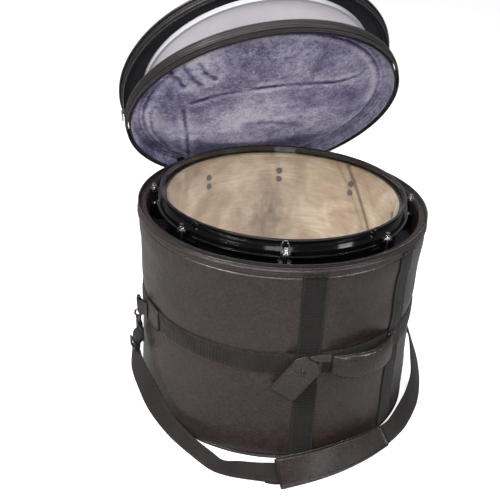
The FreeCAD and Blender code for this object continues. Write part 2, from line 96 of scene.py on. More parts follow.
def in_lid(P):
    return rot_about(P, E1, AXV, LID_OPEN) + (E2 - E1)


def in_cover(P):
    return in_lid(rot_about(P, COVER_HINGE, AXV, COVER_OPEN))


def _hash(ix, iy, iz, seed):
    n = (ix * 374761393 + iy * 668265263 + iz * 1274126177 + seed * 1013904223) & 0xFFFFFFFF
    n = ((n ^ (n >> 13)) * 1274126177) & 0xFFFFFFFF
    n = ((n ^ (n >> 16)) * 2246822519) & 0xFFFFFFFF
    return ((n ^ (n >> 15)) & 0xFFFFFF) / float(0xFFFFFF)


def noise(P, seed=0):
    P = np.asarray(P, float)
    i = np.floor(P).astype(np.int64)
    f = P - i
    f = f * f * (3 - 2 * f)
    x, y, z = f[..., 0], f[..., 1], f[..., 2]
    a, b, c = i[..., 0], i[..., 1], i[..., 2]
    r = 0
    for dx in (0, 1):
        for dy in (0, 1):
            for dz in (0, 1):
                w = (x if dx else 1 - x) * (y if dy else 1 - y) * (z if dz else 1 - z)
                r = r + w * _hash(a + dx, b + dy, c + dz, seed)
    return r * 2 - 1


def fbm(P, seed=0, octaves=3, gain=0.5):
    P = np.asarray(P, float)
    r, a, t = 0, 1.0, 0
    for k in range(octaves):
        r = r + a * noise(P * (2.03 ** k), seed + 17 * k)
        t += a
        a *= gain
    return r / t


def unit(v):
    return v / np.maximum(np.linalg.norm(v, axis=-1, keepdims=True), 1e-12)


def smooth01(t):
    t = np.clip(t, 0, 1)
    return t * t * (3 - 2 * t)


def bell(x, c, w):
    return np.exp(-((x - c) / w) ** 2)


def catmull(P, n):
    """A smooth line through the points, 24 points to each span; n is not used."""
    P = np.asarray(P, float)
    m = len(P)
    out = []
    for i in range(m - 1):
        p0, p1, p2, p3 = P[max(i - 1, 0)], P[i], P[i + 1], P[min(i + 2, m - 1)]
        for t in np.arange(24) / 24.0:
            out.append(0.5 * (p1 * 2 + (p2 - p0) * t + (p0 * 2 - p1 * 5 + p2 * 4 - p3) * t * t + (p1 * 3 - p0 - p2 * 3 + p3) * t ** 3))
    out.append(P[-1])
    return np.array(out)


def resample(P, n, closed=False):
    P = np.asarray(P, float)
    if closed:
        P = np.vstack([P, P[:1]])
    d = np.r_[0, np.cumsum(np.linalg.norm(np.diff(P, axis=0), axis=1))]
    s = np.linspace(0, d[-1], n + 1)[:-1] if closed else np.linspace(0, d[-1], n)
    return np.stack([np.interp(s, d, P[:, k]) for k in range(P.shape[1])], -1)


def pair_resample(A, B, n):
    a, b = catmull(A, 0), catmull(B, 0)
    mid = (a + b) / 2
    d = np.r_[0, np.cumsum(np.linalg.norm(np.diff(mid, axis=0), axis=1))]
    s = np.linspace(0, d[-1], n)
    f = lambda q: np.stack([np.interp(s, d, q[:, k]) for k in range(3)], -1)
    return f(a), f(b), d[-1]


# --------------------------------------------------------------------- geometry
# A part is (points in mm, quads, tris, uv per quad corner, uv per tri corner).
def part_grid(P, closed_u=True, closed_v=True, uv=None, caps=False):
    P = np.asarray(P, float)
    nu, nv = P.shape[:2]
    V = P.reshape(-1, 3)
    iu = np.arange(nu if closed_u else nu - 1)
    iv = np.arange(nv if closed_v else nv - 1)
    I, J = np.meshgrid(iu, iv, indexing="ij")
    I2, J2 = (I + 1) % nu, (J + 1) % nv
    Q = np.stack([I * nv + J, I2 * nv + J, I2 * nv + J2, I * nv + J2], -1).reshape(-1, 4)
    if uv is None:
        du = np.linalg.norm(np.diff(P, axis=0), axis=2).mean(1)
        dv = np.linalg.norm(np.diff(P, axis=1), axis=2).mean(0)
        us = np.r_[0, np.cumsum(du)]
        vs = np.r_[0, np.cumsum(dv)]
        us = np.r_[us, us[-1] + us[1]]
        vs = np.r_[vs, vs[-1] + vs[1]]
    else:
        us, vs = uv
        if len(us) == nu:
            us = np.r_[us, 2 * us[-1] - us[-2]]
        if len(vs) == nv:
            vs = np.r_[vs, 2 * vs[-1] - vs[-2]]
    UQ = np.stack([np.stack([us[I], vs[J]], -1), np.stack([us[I + 1], vs[J]], -1),
                   np.stack([us[I + 1], vs[J + 1]], -1), np.stack([us[I], vs[J + 1]], -1)], -2).reshape(-1, 4, 2)
    T = np.zeros((0, 3), int)
    UT = np.zeros((0, 3, 2))
    if caps and not closed_u:
        c0, c1 = len(V), len(V) + 1
        V = np.vstack([V, P[0].mean(0), P[-1].mean(0)])
        j = np.arange(nv)
        j2 = (j + 1) % nv
        T = np.vstack([np.stack([np.full(nv, c0), j, j2], -1),
                       np.stack([np.full(nv, c1), (nu - 1) * nv + j2, (nu - 1) * nv + j], -1)])
        UT = np.zeros((2 * nv, 3, 2))
        UT[:nv] = us[0]
        UT[nv:] = us[nu - 1]
    return fix((V, Q, T, UQ, UT))


def part_poles(P, uv=None):
    """Grid closed in u; first and last v rows shrink to single points."""
    P = np.asarray(P, float)
    nu, nv = P.shape[:2]
    body = P[:, 1:-1]
    m = nv - 2
    V = np.vstack([body.reshape(-1, 3), P[:, 0].mean(0), P[:, -1].mean(0)])
    a, b = len(V) - 2, len(V) - 1
    I, J = np.meshgrid(np.arange(nu), np.arange(m - 1), indexing="ij")
    I2 = (I + 1) % nu
    Q = np.stack([I * m + J, I2 * m + J, I2 * m + J + 1, I * m + J + 1], -1).reshape(-1, 4)
    i = np.arange(nu)
    i2 = (i + 1) % nu
    T = np.vstack([np.stack([np.full(nu, a), i2 * m, i * m], -1), np.stack([np.full(nu, b), i * m + m - 1, i2 * m + m - 1], -1)])
    UQ = V[Q][..., :2]
    UT = V[T][..., :2]
    return fix((V, Q, T, UQ, UT))


def volume(p):
    V, Q, T = p[0], p[1], p[2]
    F = np.vstack([Q[:, [0, 1, 2]], Q[:, [0, 2, 3]], T]) if len(Q) else T
    c = V.mean(0)
    a, b, d = V[F[:, 0]] - c, V[F[:, 1]] - c, V[F[:, 2]] - c
    return np.einsum("ij,ij->i", a, np.cross(b, d)).sum() / 6


def fix(p):
    if volume(p) < 0:
        V, Q, T, UQ, UT = p
        return V, Q[:, ::-1], T[:, ::-1], UQ[:, ::-1], UT[:, ::-1]
    return p


def join(parts):
    V, Q, T, UQ, UT = [], [], [], [], []
    n = 0
    for p in parts:
        V.append(p[0]); Q.append(p[1] + n); T.append(p[2] + n); UQ.append(p[3]); UT.append(p[4])
        n += len(p[0])
    return tuple(np.concatenate(x) for x in (V, Q, T, UQ, UT))


def move(p, fn):
    q = (fn(p[0]),) + tuple(p[1:])
    return fix(q)


def build(name, p, mat, body=None, replaces=(), smooth=True):
    V, Q, T, UQ, UT = p
    me = bpy.data.meshes.new(name)
    loops = np.concatenate([Q.ravel(), T.ravel()]).astype(np.int32)
    starts = np.concatenate([np.arange(len(Q)) * 4, len(Q) * 4 + np.arange(len(T)) * 3]).astype(np.int32)
    me.vertices.add(len(V))
    me.vertices.foreach_set("co", (V * 0.001).astype(np.float32).ravel())
    me.loops.add(len(loops))
    me.loops.foreach_set("vertex_index", loops)
    me.polygons.add(len(starts))
    me.polygons.foreach_set("loop_start", starts)
    if smooth:
        me.polygons.foreach_set("use_smooth", np.ones(len(starts), bool))
    uv = me.uv_layers.new(name="UVMap")
    uv.data.foreach_set("uv", (np.concatenate([UQ.reshape(-1, 2), UT.reshape(-1, 2)]) * 0.001).astype(np.float32).ravel())
    me.update(calc_edges=True)
    me.validate()
    ob = bpy.data.objects.new(name, me)
    bpy.context.scene.collection.objects.link(ob)
    if mat:
        me.materials.append(mat)
    if body:
        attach(ob, body)
    if replaces:
        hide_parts(*replaces)
    return ob


def instances(base, origins, X, Y, Z, scale=None):
    """Copies of a base part; origins (n,3) with axis directions; scale (n,3)."""
    bV, bQ, bT, bUQ, bUT = base
    n = len(origins)
    S = np.ones((n, 3)) if scale is None else np.broadcast_to(scale, (n, 3))
    V = (origins[:, None] + bV[None, :, 0, None] * (X * S[:, :1])[:, None] + bV[None, :, 1, None] * (Y * S[:, 1:2])[:, None]
         + bV[None, :, 2, None] * (Z * S[:, 2:3])[:, None])
    off = (np.arange(n) * len(bV))[:, None, None]
    return (V.reshape(-1, 3), (bQ[None] + off).reshape(-1, 4), (bT[None] + off).reshape(-1, 3),
            np.tile(bUQ, (n, 1, 1)), np.tile(bUT, (n, 1, 1)))


def ball(nu=8, nv=5):
    th = np.linspace(0, math.pi, nv)
    ph = np.arange(nu) * 2 * math.pi / nu
    P = np.stack([np.outer(np.cos(ph), np.sin(th)), np.outer(np.sin(ph), np.sin(th)), np.outer(np.ones(nu), np.cos(th))], -1)
    return part_poles(P)


def rounded_section(w, t, n_face, r=None, nr=3):
    """Loop of (x, y) points for a flat strip w wide and t thick, rounded edges.
    The first n_face points run along the top (+y) from -w/2 to w/2."""
    r = t / 2 if r is None else r
    xs = np.linspace(-w / 2 + r, w / 2 - r, n_face)
    pts = [(x, t / 2) for x in xs]
    for k in range(1, nr + 1):
        a = math.pi / 2 - math.pi * k / (nr + 1)
        pts.append((w / 2 - r + r * math.cos(a), r * math.sin(a) * (t / 2 / r)))
    xb = np.linspace(w / 2 - r, -w / 2 + r, max(n_face // 3, 4))
    pts += [(x, -t / 2) for x in xb]
    for k in range(1, nr + 1):
        a = -math.pi / 2 - math.pi * k / (nr + 1)
        pts.append((-w / 2 + r + r * math.cos(a), r * math.sin(a) * (t / 2 / r)))
    return np.array(pts)


def sweep(C, X, Y, section, closed=False, top=None):
    """section (m,2) or (n,m,2) swept along centres C with frame X (width), Y (up)."""
    S = np.asarray(section)
    if S.ndim == 2:
        S = np.broadcast_to(S, (len(C),) + S.shape)
    P = C[:, None] + X[:, None] * S[..., :1] + Y[:, None] * S[..., 1:]
    return part_grid(P, closed_u=closed, closed_v=True, caps=not closed)


def tube(C, r, n=8, closed=False):
    C = np.asarray(C, float)
    if closed:
        t = unit(np.roll(C, -1, 0) - np.roll(C, 1, 0))
    else:
        t = unit(np.gradient(C, axis=0))
    ref = np.array([0, 0, 1.0]) if abs(t[:, 2]).mean() < 0.8 else np.array([1.0, 0, 0])
    x = unit(np.cross(t, ref))
    y = np.cross(x, t)
    a = np.arange(n) * 2 * math.pi / n
    R = np.broadcast_to(np.asarray(r, float), (len(C),))
    sec = np.stack([np.cos(a), np.sin(a)], -1)[None] * R[:, None, None]
    return sweep(C, x, y, sec, closed)


STITCH = ball(6, 5)


def stitches(line, normal, pitch=4.6, length=3.4, r=0.36, closed=False, sink=0.1):
    """Short thread capsules lying along a line, on the side the normal faces."""
    line = np.asarray(line, float)
    normal = np.broadcast_to(np.asarray(normal, float), line.shape)
    if closed:
        line = np.vstack([line, line[:1]])
        normal = np.vstack([normal, normal[:1]])
    d = np.r_[0, np.cumsum(np.linalg.norm(np.diff(line, axis=0), axis=1))]
    n = max(int(d[-1] / pitch), 1)
    s = (np.arange(n) + 0.5) * d[-1] / n
    at = lambda q, s: np.stack([np.interp(s, d, q[:, k]) for k in range(3)], -1)
    a, b = at(line, s - length / 2), at(line, s + length / 2)
    t = unit(b - a)
    nn = at(normal, s)
    nn = unit(nn - (nn * t).sum(1, keepdims=True) * t)
    side = np.cross(nn, t)
    c = (a + b) / 2 + nn * (r - sink)
    return instances(STITCH, c, t, side, nn, np.array([length / 2, r, r]))


# ------------------------------------------------------------ bag wall surface
_zt = np.arange(-10, 371, 0.5)
_rt = np.interp(_zt, [p[0] for p in PROFILE], [p[1] for p in PROFILE])
_k = np.exp(-0.5 * (np.arange(-30, 31) / 12.0) ** 2)
_k /= _k.sum()
_rt = np.convolve(np.pad(_rt, 30, mode="edge"), _k, mode="valid")


def wall_disp(az, z):
    """Soft dents, pull lines and seams of the wall skin (mm)."""
    a = np.radians(az)
    c, s = np.cos(a), np.sin(a)
    o = np.ones_like(z * c)
    P = lambda f, h, ph=0.0: np.stack([c * f * o + ph, s * f * o - ph, z / h * o], -1)
    d = 2.3 * fbm(P(1.7, 150.0), 3, 2)
    d = d + 1.2 * fbm(P(4.2, 62.0), 9, 3)
    d = d + 1.3 * (bell(z, 236, 20) + bell(z, 138, 22))
    ridge = 1 - np.abs(noise(P(5.0, 95.0, 3.3), 21))
    d = d - 0.3 * ridge ** 5 * smooth01((fbm(P(2.0, 90.0), 31, 2) + 0.15) * 2)
    ridge2 = 1 - np.abs(noise(P(2.2, 26.0, 1.1), 23))
    d = d - 0.3 * ridge2 ** 4 * smooth01((fbm(P(1.6, 60.0), 37, 2)) * 2) * 0.6
    puck = noise(P(30.0, 9e9), 41)
    d = d + 0.4 * puck * (bell(z, 209, 9) + bell(z, 165, 9)) + 0.4 * puck * bell(z, 12, 8)
    puck2 = noise(P(38.0, 9e9, 2.0), 43)
    d = d + 0.3 * puck2 * bell(z, 335, 12) + 1.6 * bell(z, 322, 15)
    d = d - 1.6 * bell(z, 342.5, 1.7) + 2.8 * smooth01((z - 343) / 4.0) * (1 - 0.6 * smooth01((z - 352) / 4)) - 0.7 * bell(z, 351.3, 1.1)
    d = d - 0.9 * bell(z, 6.5, 2.0)
    for zb in (168.0, 206.0):
        d = d - 1.3 * bell(z, zb, 5)
    return d


def wall_r(az, z, off=0.0):
    z = np.asarray(z, float)
    return np.interp(z, _zt, _rt) + wall_disp(az, z) + off


def on_wall(az, z, off=0.0):
    az, z = np.broadcast_arrays(np.asarray(az, float), np.asarray(z, float))
    return pol(az, wall_r(az, z, off), z)


# ---------------------------------------------------------------------- materials
class Mat:
    def __init__(self, name):
        self.m = bpy.data.materials.new(name)
        self.m.use_nodes = True
        self.t = self.m.node_tree
        self.t.nodes.clear()
        self.out = self.t.nodes.new("ShaderNodeOutputMaterial")
        self.b = self.t.nodes.new("ShaderNodeBsdfPrincipled")
        self.t.links.new(self.b.outputs[0], self.out.inputs[0])
        self.tc = self.t.nodes.new("ShaderNodeTexCoord")

    def n(self, kind, **kw):
        x = self.t.nodes.new(kind)
        for k, v in kw.items():
            setattr(x, k, v)
        return x

    def put(self, node, key, val):
        s = node.inputs[key]
        if hasattr(val, "is_linked") or isinstance(val, bpy.types.NodeSocket):
            self.t.links.new(val, s)
        else:
            s.default_value = val

    def mapping(self, scale, src="Object", loc=(0, 0, 0), rot=(0, 0, 0)):
        x = self.n("ShaderNodeMapping")
        self.t.links.new(self.tc.outputs[src], x.inputs[0])
        x.inputs["Scale"].default_value = scale if hasattr(scale, "__len__") else (scale,) * 3
        x.inputs["Location"].default_value = loc
        x.inputs["Rotation"].default_value = rot
        return x.outputs[0]

    def noise(self, scale, detail=3.0, rough=0.55, src="Object", stretch=(1, 1, 1), distort=0.0, loc=(0, 0, 0)):
        x = self.n("ShaderNodeTexNoise")
        self.t.links.new(self.mapping(stretch, src, loc), x.inputs["Vector"])
        x.inputs["Scale"].default_value = scale
        x.inputs["Detail"].default_value = detail
        x.inputs["Roughness"].default_value = rough
        x.inputs["Distortion"].default_value = distort
        return x.outputs[0]

    def voronoi(self, scale, feature="F1", src="Object", stretch=(1, 1, 1), rnd=1.0):
        x = self.n("ShaderNodeTexVoronoi", feature=feature)
        self.t.links.new(self.mapping(stretch, src), x.inputs["Vector"])
        x.inputs["Scale"].default_value = scale
        x.inputs["Randomness"].default_value = rnd
        return x.outputs[0]

    def ramp(self, fac, stops, interp="LINEAR"):
        x = self.n("ShaderNodeValToRGB")
        x.color_ramp.interpolation = interp
        e = x.color_ramp.elements
        while len(e) > 1:
            e.remove(e[-1])
        for i, (p, c) in enumerate(stops):
            q = e[0] if i == 0 else e.new(p)
            q.position = p
            q.color = tuple(c) + (1,) if hasattr(c, "__len__") else (c, c, c, 1)
        self.t.links.new(fac, x.inputs[0])
        return x.outputs[0]

    def mix(self, fac, a, b, kind="MIX"):
        x = self.n("ShaderNodeMix", data_type="RGBA", blend_type=kind)
        for key, val in ((0, fac), (6, a), (7, b)):
            if isinstance(val, bpy.types.NodeSocket):
                self.t.links.new(val, x.inputs[key])
            elif hasattr(val, "__len__"):
                x.inputs[key].default_value = tuple(val) + (1,) if len(val) == 3 else val
            else:
                x.inputs[key].default_value = val
        return x.outputs[2]

    def math(self, op, a, b=None, c=None, clamp=False):
        x = self.n("ShaderNodeMath", operation=op, use_clamp=clamp)
        for i, v in enumerate((a, b, c)):
            if v is None:
                continue
            if isinstance(v, bpy.types.NodeSocket):
                self.t.links.new(v, x.inputs[i])
            else:
                x.inputs[i].default_value = v
        return x.outputs[0]

    def bump(self, height, dist, strength=1.0, normal=None):
        x = self.n("ShaderNodeBump")
        x.inputs["Strength"].default_value = strength
        x.inputs["Distance"].default_value = dist
        self.t.links.new(height, x.inputs["Height"])
        if normal is not None:
            self.t.links.new(normal, x.inputs["Normal"])
        return x.outputs[0]

    def set(self, **kw):
        names = {"color": "Base Color", "rough": "Roughness", "metal": "Metallic", "spec": "Specular IOR Level", "normal": "Normal",
                 "coat": "Coat Weight", "coat_rough": "Coat Roughness", "sheen": "Sheen Weight", "sheen_rough": "Sheen Roughness",
                 "sheen_tint": "Sheen Tint", "alpha": "Alpha", "ior": "IOR", "trans": "Transmission Weight", "sss": "Subsurface Weight"}
        for k, v in kw.items():
            s = self.b.inputs[names[k]]
            if isinstance(v, bpy.types.NodeSocket):
                self.t.links.new(v, s)
            elif hasattr(v, "__len__") and len(v) == 3 and s.type == "RGBA":
                s.default_value = tuple(v) + (1,)
            else:
                s.default_value = v
        return self


def srgb(r, g, b):
    f = lambda c: (c / 255 / 12.92) if c / 255 <= 0.04045 else ((c / 255 + 0.055) / 1.055) ** 2.4
    return (f(r), f(g), f(b))


def vinyl(name, base, light, rough=0.46, grain=620.0, depth=0.00022, wear=0.35):
    m = Mat(name)
    low = m.noise(7.0, 3, 0.5)
    col = m.mix(m.ramp(low, [(0.32, 0.0), (0.7, 1.0)]), base, tuple(0.5 * (a + b) for a, b in zip(base, light)))
    fleck = m.noise(55.0, 4, 0.6)
    col = m.mix(m.ramp(fleck, [(0.5, 0.0), (0.78, wear)]), col, light)
    peb = m.noise(250.0, 4, 0.6, distort=0.4)
    # peb is also the grain's bump height: the colour goes darker in its hollows as painted shade and lighter on the
    # raised tops as a painted highlight.
    col = m.mix(m.ramp(peb, [(0.38, 0.0), (0.64, 1.0)]), m.mix(0.36, col, (0.0, 0.0, 0.0)), m.mix(0.4, col, light))
    cells = m.voronoi(grain, "SMOOTH_F1")
    fine = m.noise(grain * 2.1, 2, 0.6)
    dimple = m.math("ADD", m.math("MULTIPLY", cells, -1.0), m.math("MULTIPLY", fine, 0.45))
    n1 = m.bump(dimple, depth, 0.9)
    n1 = m.bump(peb, 0.0006, 0.5, n1)
    n2 = m.bump(m.noise(75.0, 3, 0.5, distort=0.4), 0.0011, 0.4, n1)
    r = m.math("MULTIPLY_ADD", m.noise(24.0, 3, 0.6), 0.2, rough - 0.1)
    r = m.math("MULTIPLY_ADD", peb, -0.18, m.math("ADD", r, 0.09))
    m.set(color=col, rough=r, normal=n2, spec=0.5, coat=0.12, coat_rough=0.22)
    return m.m


def cloth_mat(name, base, light, thread=900.0, rough=0.8, sheen=0.15, src="UV", depth=0.00025):
    """Woven webbing: warp and weft threads from two crossed waves."""
    m = Mat(name)
    w1 = m.n("ShaderNodeTexWave", wave_type="BANDS", bands_direction="X")
    m.t.links.new(m.mapping(1.0, src), w1.inputs["Vector"])
    w1.inputs["Scale"].default_value = thread / 6.283
    w1.inputs["Distortion"].default_value = 0.6
    w2 = m.n("ShaderNodeTexWave", wave_type="BANDS", bands_direction="Y")
    m.t.links.new(m.mapping(1.0, src), w2.inputs["Vector"])
    w2.inputs["Scale"].default_value = thread * 1.3 / 6.283
    w2.inputs["Distortion"].default_value = 0.6
    h = m.math("MULTIPLY", w1.outputs[1], w2.outputs[1])
    low = m.noise(30.0, 4, 0.6)
    col = m.mix(m.ramp(low, [(0.3, 0.0), (0.75, 1.0)]), base, light)
    # Darker where the weave height h is low: painted shade in the grooves between the threads.
    col = m.mix(m.math("MULTIPLY", h, 0.35), m.mix(0.5, col, (0, 0, 0)), col)
    col = m.mix(0.6, col, m.mix(m.ramp(low, [(0.3, 0.0), (0.75, 1.0)]), base, light))
    m.set(color=col, rough=rough, normal=m.bump(h, depth, 0.8), sheen=sheen, spec=0.25)
    return m.m


def metal(name, col, rough, spots=0.06, bevel=0.0004, tint=None):
    m = Mat(name)
    bv = m.n("ShaderNodeBevel", samples=4)
    bv.inputs[0].default_value = bevel
    r = m.math("MULTIPLY_ADD", m.noise(160.0, 4, 0.6), spots * 2, max(rough - spots, 0.02))
    c = m.mix(m.ramp(m.noise(45.0, 4, 0.6), [(0.45, 0.0), (0.75, 1.0)]), col, tint or tuple(x * 0.7 for x in col))
    m.set(color=c, metal=1.0, rough=r, normal=m.bump(m.noise(700.0, 2, 0.5), 0.00003, 0.4, bv.outputs[0]))
    return m.m


def gloss(name, col, rough=0.12, coat=0.6, bevel=0.0006):
    m = Mat(name)
    bv = m.n("ShaderNodeBevel", samples=4)
    bv.inputs[0].default_value = bevel
    r = m.math("MULTIPLY_ADD", m.noise(60.0, 5, 0.65), 0.12, rough - 0.04)
    scr = m.noise(30.0, 6, 0.7, stretch=(1, 1, 9))
    c = m.mix(m.ramp(scr, [(0.58, 0.0), (0.8, 0.5)]), col, tuple(min(1, x * 2 + 0.01) for x in col))
    m.set(color=c, rough=r, coat=coat, coat_rough=0.06, normal=bv.outputs[0], spec=0.5)
    return m.m


VINYL = vinyl("Vinyl", srgb(42, 32, 31), srgb(66, 55, 53), rough=0.31, depth=0.0003)
VINYL_HANDLE = vinyl("VinylHandle", srgb(38, 30, 29), srgb(60, 51, 49), rough=0.27, grain=700)
VINYL_TAG = vinyl("VinylTag", srgb(42, 35, 34), srgb(66, 58, 56), rough=0.3, grain=760)
VINYL_LID = vinyl("VinylLid", srgb(20, 16, 16), srgb(32, 27, 27), rough=0.48)
VINYL_PAD = vinyl("VinylPad", srgb(40, 33, 32), srgb(62, 54, 52), rough=0.27, grain=640)
COLLAR = vinyl("Collar", srgb(60, 50, 55), srgb(80, 70, 76), rough=0.55, grain=900, depth=0.00012)
WEB = cloth_mat("Webbing", srgb(31, 26, 26), srgb(46, 40, 40))
WEB_DARK = cloth_mat("WebbingDark", srgb(15, 12, 11), srgb(28, 24, 22))
BELT = cloth_mat("Belt", srgb(26, 21, 20), srgb(46, 40, 37))
TAPE = cloth_mat("ZipTape", srgb(24, 20, 22), srgb(36, 31, 33), thread=1400.0, src="Object")
FOAM = vinyl("Foam", srgb(60, 58, 58), srgb(80, 78, 78), rough=0.9)
WELT = vinyl("Welt", srgb(26, 22, 23), srgb(44, 38, 39), rough=0.38, grain=900, depth=0.0001)
THREAD = cloth_mat("Thread", srgb(66, 58, 56), srgb(98, 90, 87), thread=3000.0, src="Object", depth=0.0001)
TEETH = gloss("ZipTeeth", srgb(30, 26, 27), rough=0.28, coat=0.3, bevel=0.0002)
DARK_LINING = cloth_mat("CoverLining", srgb(30, 27, 32), srgb(48, 44, 52), thread=1100.0, src="Object")
NICKEL = metal("AgedNickel", srgb(120, 116, 112), 0.34, tint=srgb(72, 66, 62))
GUN = metal("DarkMetal", srgb(78, 74, 74), 0.36, tint=srgb(50, 46, 46))
CHROME = metal("Chrome", srgb(214, 214, 216), 0.1, spots=0.03)
STEEL = metal("Steel", srgb(150, 150, 150), 0.3)
BRASS = metal("Brass", srgb(176, 140, 78), 0.32)
ALU = metal("Aluminium", srgb(214, 214, 216), 0.3, spots=0.02, bevel=0.0001)
SILVER = gloss("SilverHoop", srgb(196, 196, 198), rough=0.3, coat=0.3, bevel=0.0002)
SCREW = gloss("ScrewHead", srgb(74, 76, 70), rough=0.4, coat=0.1)
HOOP = gloss("BlackHoop", srgb(9, 9, 9), rough=0.1, coat=0.8)
LUGM = gloss("BlackLug", srgb(11, 11, 11), rough=0.14, coat=0.7)


def plush_mat():
    m = Mat("Plush")
    a = m.noise(11.0, 6, 0.72, distort=0.5)
    b = m.noise(60.0, 6, 0.75, distort=0.3, loc=(3, 1, 2))
    c = m.noise(230.0, 4, 0.7, distort=0.6, loc=(7, 5, 1))
    f = m.math("ADD", m.math("ADD", m.math("MULTIPLY", a, 0.34), m.math("MULTIPLY", b, 0.28)), m.math("MULTIPLY", c, 0.38))
    # The fold attribute carries painted shade in the lining's creases and a painted highlight on their flanks.
    fold = m.n("ShaderNodeAttribute", attribute_name="fold")
    f = m.math("MULTIPLY_ADD", fold.outputs["Fac"], 0.15, f)
    col = m.ramp(f, [(0.31, srgb(54, 49, 78)), (0.4, srgb(92, 88, 120)), (0.465, srgb(132, 128, 158)), (0.53, srgb(170, 167, 192)), (0.62, srgb(216, 214, 228))])
    fib = m.noise(900.0, 3, 0.6)
    col = m.mix(m.ramp(fib, [(0.35, 0.35), (0.6, 0.0)]), col, srgb(48, 42, 74))
    m.set(color=col, rough=0.9, sheen=0.5, sheen_rough=0.4, sheen_tint=srgb(190, 184, 214), spec=0.1,
          normal=m.bump(m.noise(420.0, 4, 0.7), 0.0008, 0.7))
    return m.m


def wood_mat():
    """Pale veneer inside with an overlap seam, black lacquer outside."""
    m = Mat("ShellWood")
    sep = m.n("ShaderNodeSeparateXYZ")
    m.t.links.new(m.tc.outputs["Object"], sep.inputs[0])
    x, y, z = sep.outputs
    az = m.math("ARCTAN2", x, m.math("MULTIPLY", y, -1.0))
    rad = m.math("SQRT", m.math("ADD", m.math("MULTIPLY", x, x), m.math("MULTIPLY", y, y)))
    comb = m.n("ShaderNodeCombineXYZ")
    m.t.links.new(az, comb.inputs[0]); m.t.links.new(z, comb.inputs[1]); m.t.links.new(rad, comb.inputs[2])

    def nz(scale, stretch, detail=4, distort=0.0, rough=0.6):
        mp = m.n("ShaderNodeMapping")
        m.t.links.new(comb.outputs[0], mp.inputs[0])
        mp.inputs["Scale"].default_value = stretch
        t = m.n("ShaderNodeTexNoise")
        m.t.links.new(mp.outputs[0], t.inputs["Vector"])
        t.inputs["Scale"].default_value = scale
        t.inputs["Detail"].default_value = detail
        t.inputs["Distortion"].default_value = distort
        t.inputs["Roughness"].default_value = rough
        return t.outputs[0]
    broad = nz(3.0, (1.0, 5.0, 1.0), 4, 0.6)
    grain = nz(26.0, (0.22, 9.0, 1.0), 5, 0.5)
    fleck = nz(120.0, (0.5, 9.0, 1.0), 3)
    cin = m.ramp(broad, [(0.3, srgb(152, 132, 110)), (0.5, srgb(180, 162, 139)), (0.66, srgb(200, 186, 165))])
    cin = m.mix(m.ramp(grain, [(0.42, 0.0), (0.66, 0.38)]), cin, srgb(126, 103, 80))
    cin = m.mix(m.ramp(fleck, [(0.6, 0.0), (0.8, 0.35)]), cin, srgb(112, 94, 77))

    def seam(centre, slope, width, soft):
        # line across the wall: azimuth = centre + slope * (z - 0.28)
        c = m.math("MULTIPLY_ADD", m.math("SUBTRACT", z, 0.28), slope, centre)
        d = m.math("ABSOLUTE", m.math("SUBTRACT", az, c))
        return m.math("SUBTRACT", 1.0, m.math("SMOOTH_MIN", m.math("MAXIMUM", m.math("DIVIDE", m.math("SUBTRACT", d, width), soft), 0.0), 1.0, 0.1))
    for c, sl, w, so, k in SEAMS:
        cin = m.mix(m.math("MULTIPLY", seam(c, sl, w, so), k, clamp=True), cin, srgb(84, 62, 44))
    # soft grey smudge low on the far wall
    sx = m.math("DIVIDE", m.math("SUBTRACT", x, -0.0179), 0.055)
    sz = m.math("DIVIDE", m.math("SUBTRACT", z, 0.2398), 0.075)
    d2 = m.math("ADD", m.math("MULTIPLY", sx, sx), m.math("MULTIPLY", sz, sz))
    spot = m.math("MULTIPLY", m.math("POWER", 2.718, m.math("MULTIPLY", d2, -1.0)), m.math("GREATER_THAN", y, 0.0))
    spot = m.math("MULTIPLY", spot, m.ramp(nz(14.0, (1.0, 3.0, 1.0), 5), [(0.3, 0.35), (0.65, 1.0)]))
    cin = m.mix(m.math("MULTIPLY", spot, 0.95), cin, srgb(84, 68, 53))
    outer = m.math("GREATER_THAN", rad, 0.1995)
    col = m.mix(outer, cin, srgb(10, 9, 9))
    r = m.math("MULTIPLY_ADD", outer, -0.45, 0.6)
    m.set(color=col, rough=r, spec=0.35, normal=m.bump(grain, 0.0003, 0.3))
    return m.m


def film_mat(name, tint, haze, rough, dots=True):
    """Clear plastic film: mostly see-through, with a gloss and faint scuffs."""
    m = Mat(name)
    tr = m.n("ShaderNodeBsdfTransparent")
    tr.inputs[0].default_value = tuple(tint) + (1,)
    m.set(color=srgb(226, 222, 214), rough=rough, spec=0.5)
    m.set(normal=m.bump(m.noise(9.0, 4, 0.6), 0.0006, 0.35))
    fr = m.n("ShaderNodeFresnel")
    fr.inputs[0].default_value = 1.45
    gl = m.n("ShaderNodeBsdfGlossy")
    gl.inputs["Roughness"].default_value = rough
    gl.inputs["Color"].default_value = (0.9, 0.9, 0.9, 1)
    scuff = m.ramp(m.noise(26.0, 8, 0.75, stretch=(1, 2.4, 1), distort=0.7), [(0.5, haze * 0.55), (0.72, haze * 2.0)])
    mixa = m.n("ShaderNodeMixShader")
    m.t.links.new(scuff, mixa.inputs[0]); m.t.links.new(tr.outputs[0], mixa.inputs[1]); m.t.links.new(m.b.outputs[0], mixa.inputs[2])
    mixb = m.n("ShaderNodeMixShader")
    m.t.links.new(m.math("MULTIPLY", fr.outputs[0], 0.2), mixb.inputs[0]); m.t.links.new(mixa.outputs[0], mixb.inputs[1]); m.t.links.new(gl.outputs[0], mixb.inputs[2])
    m.t.links.new(mixb.outputs[0], m.out.inputs[0])
    return m.m


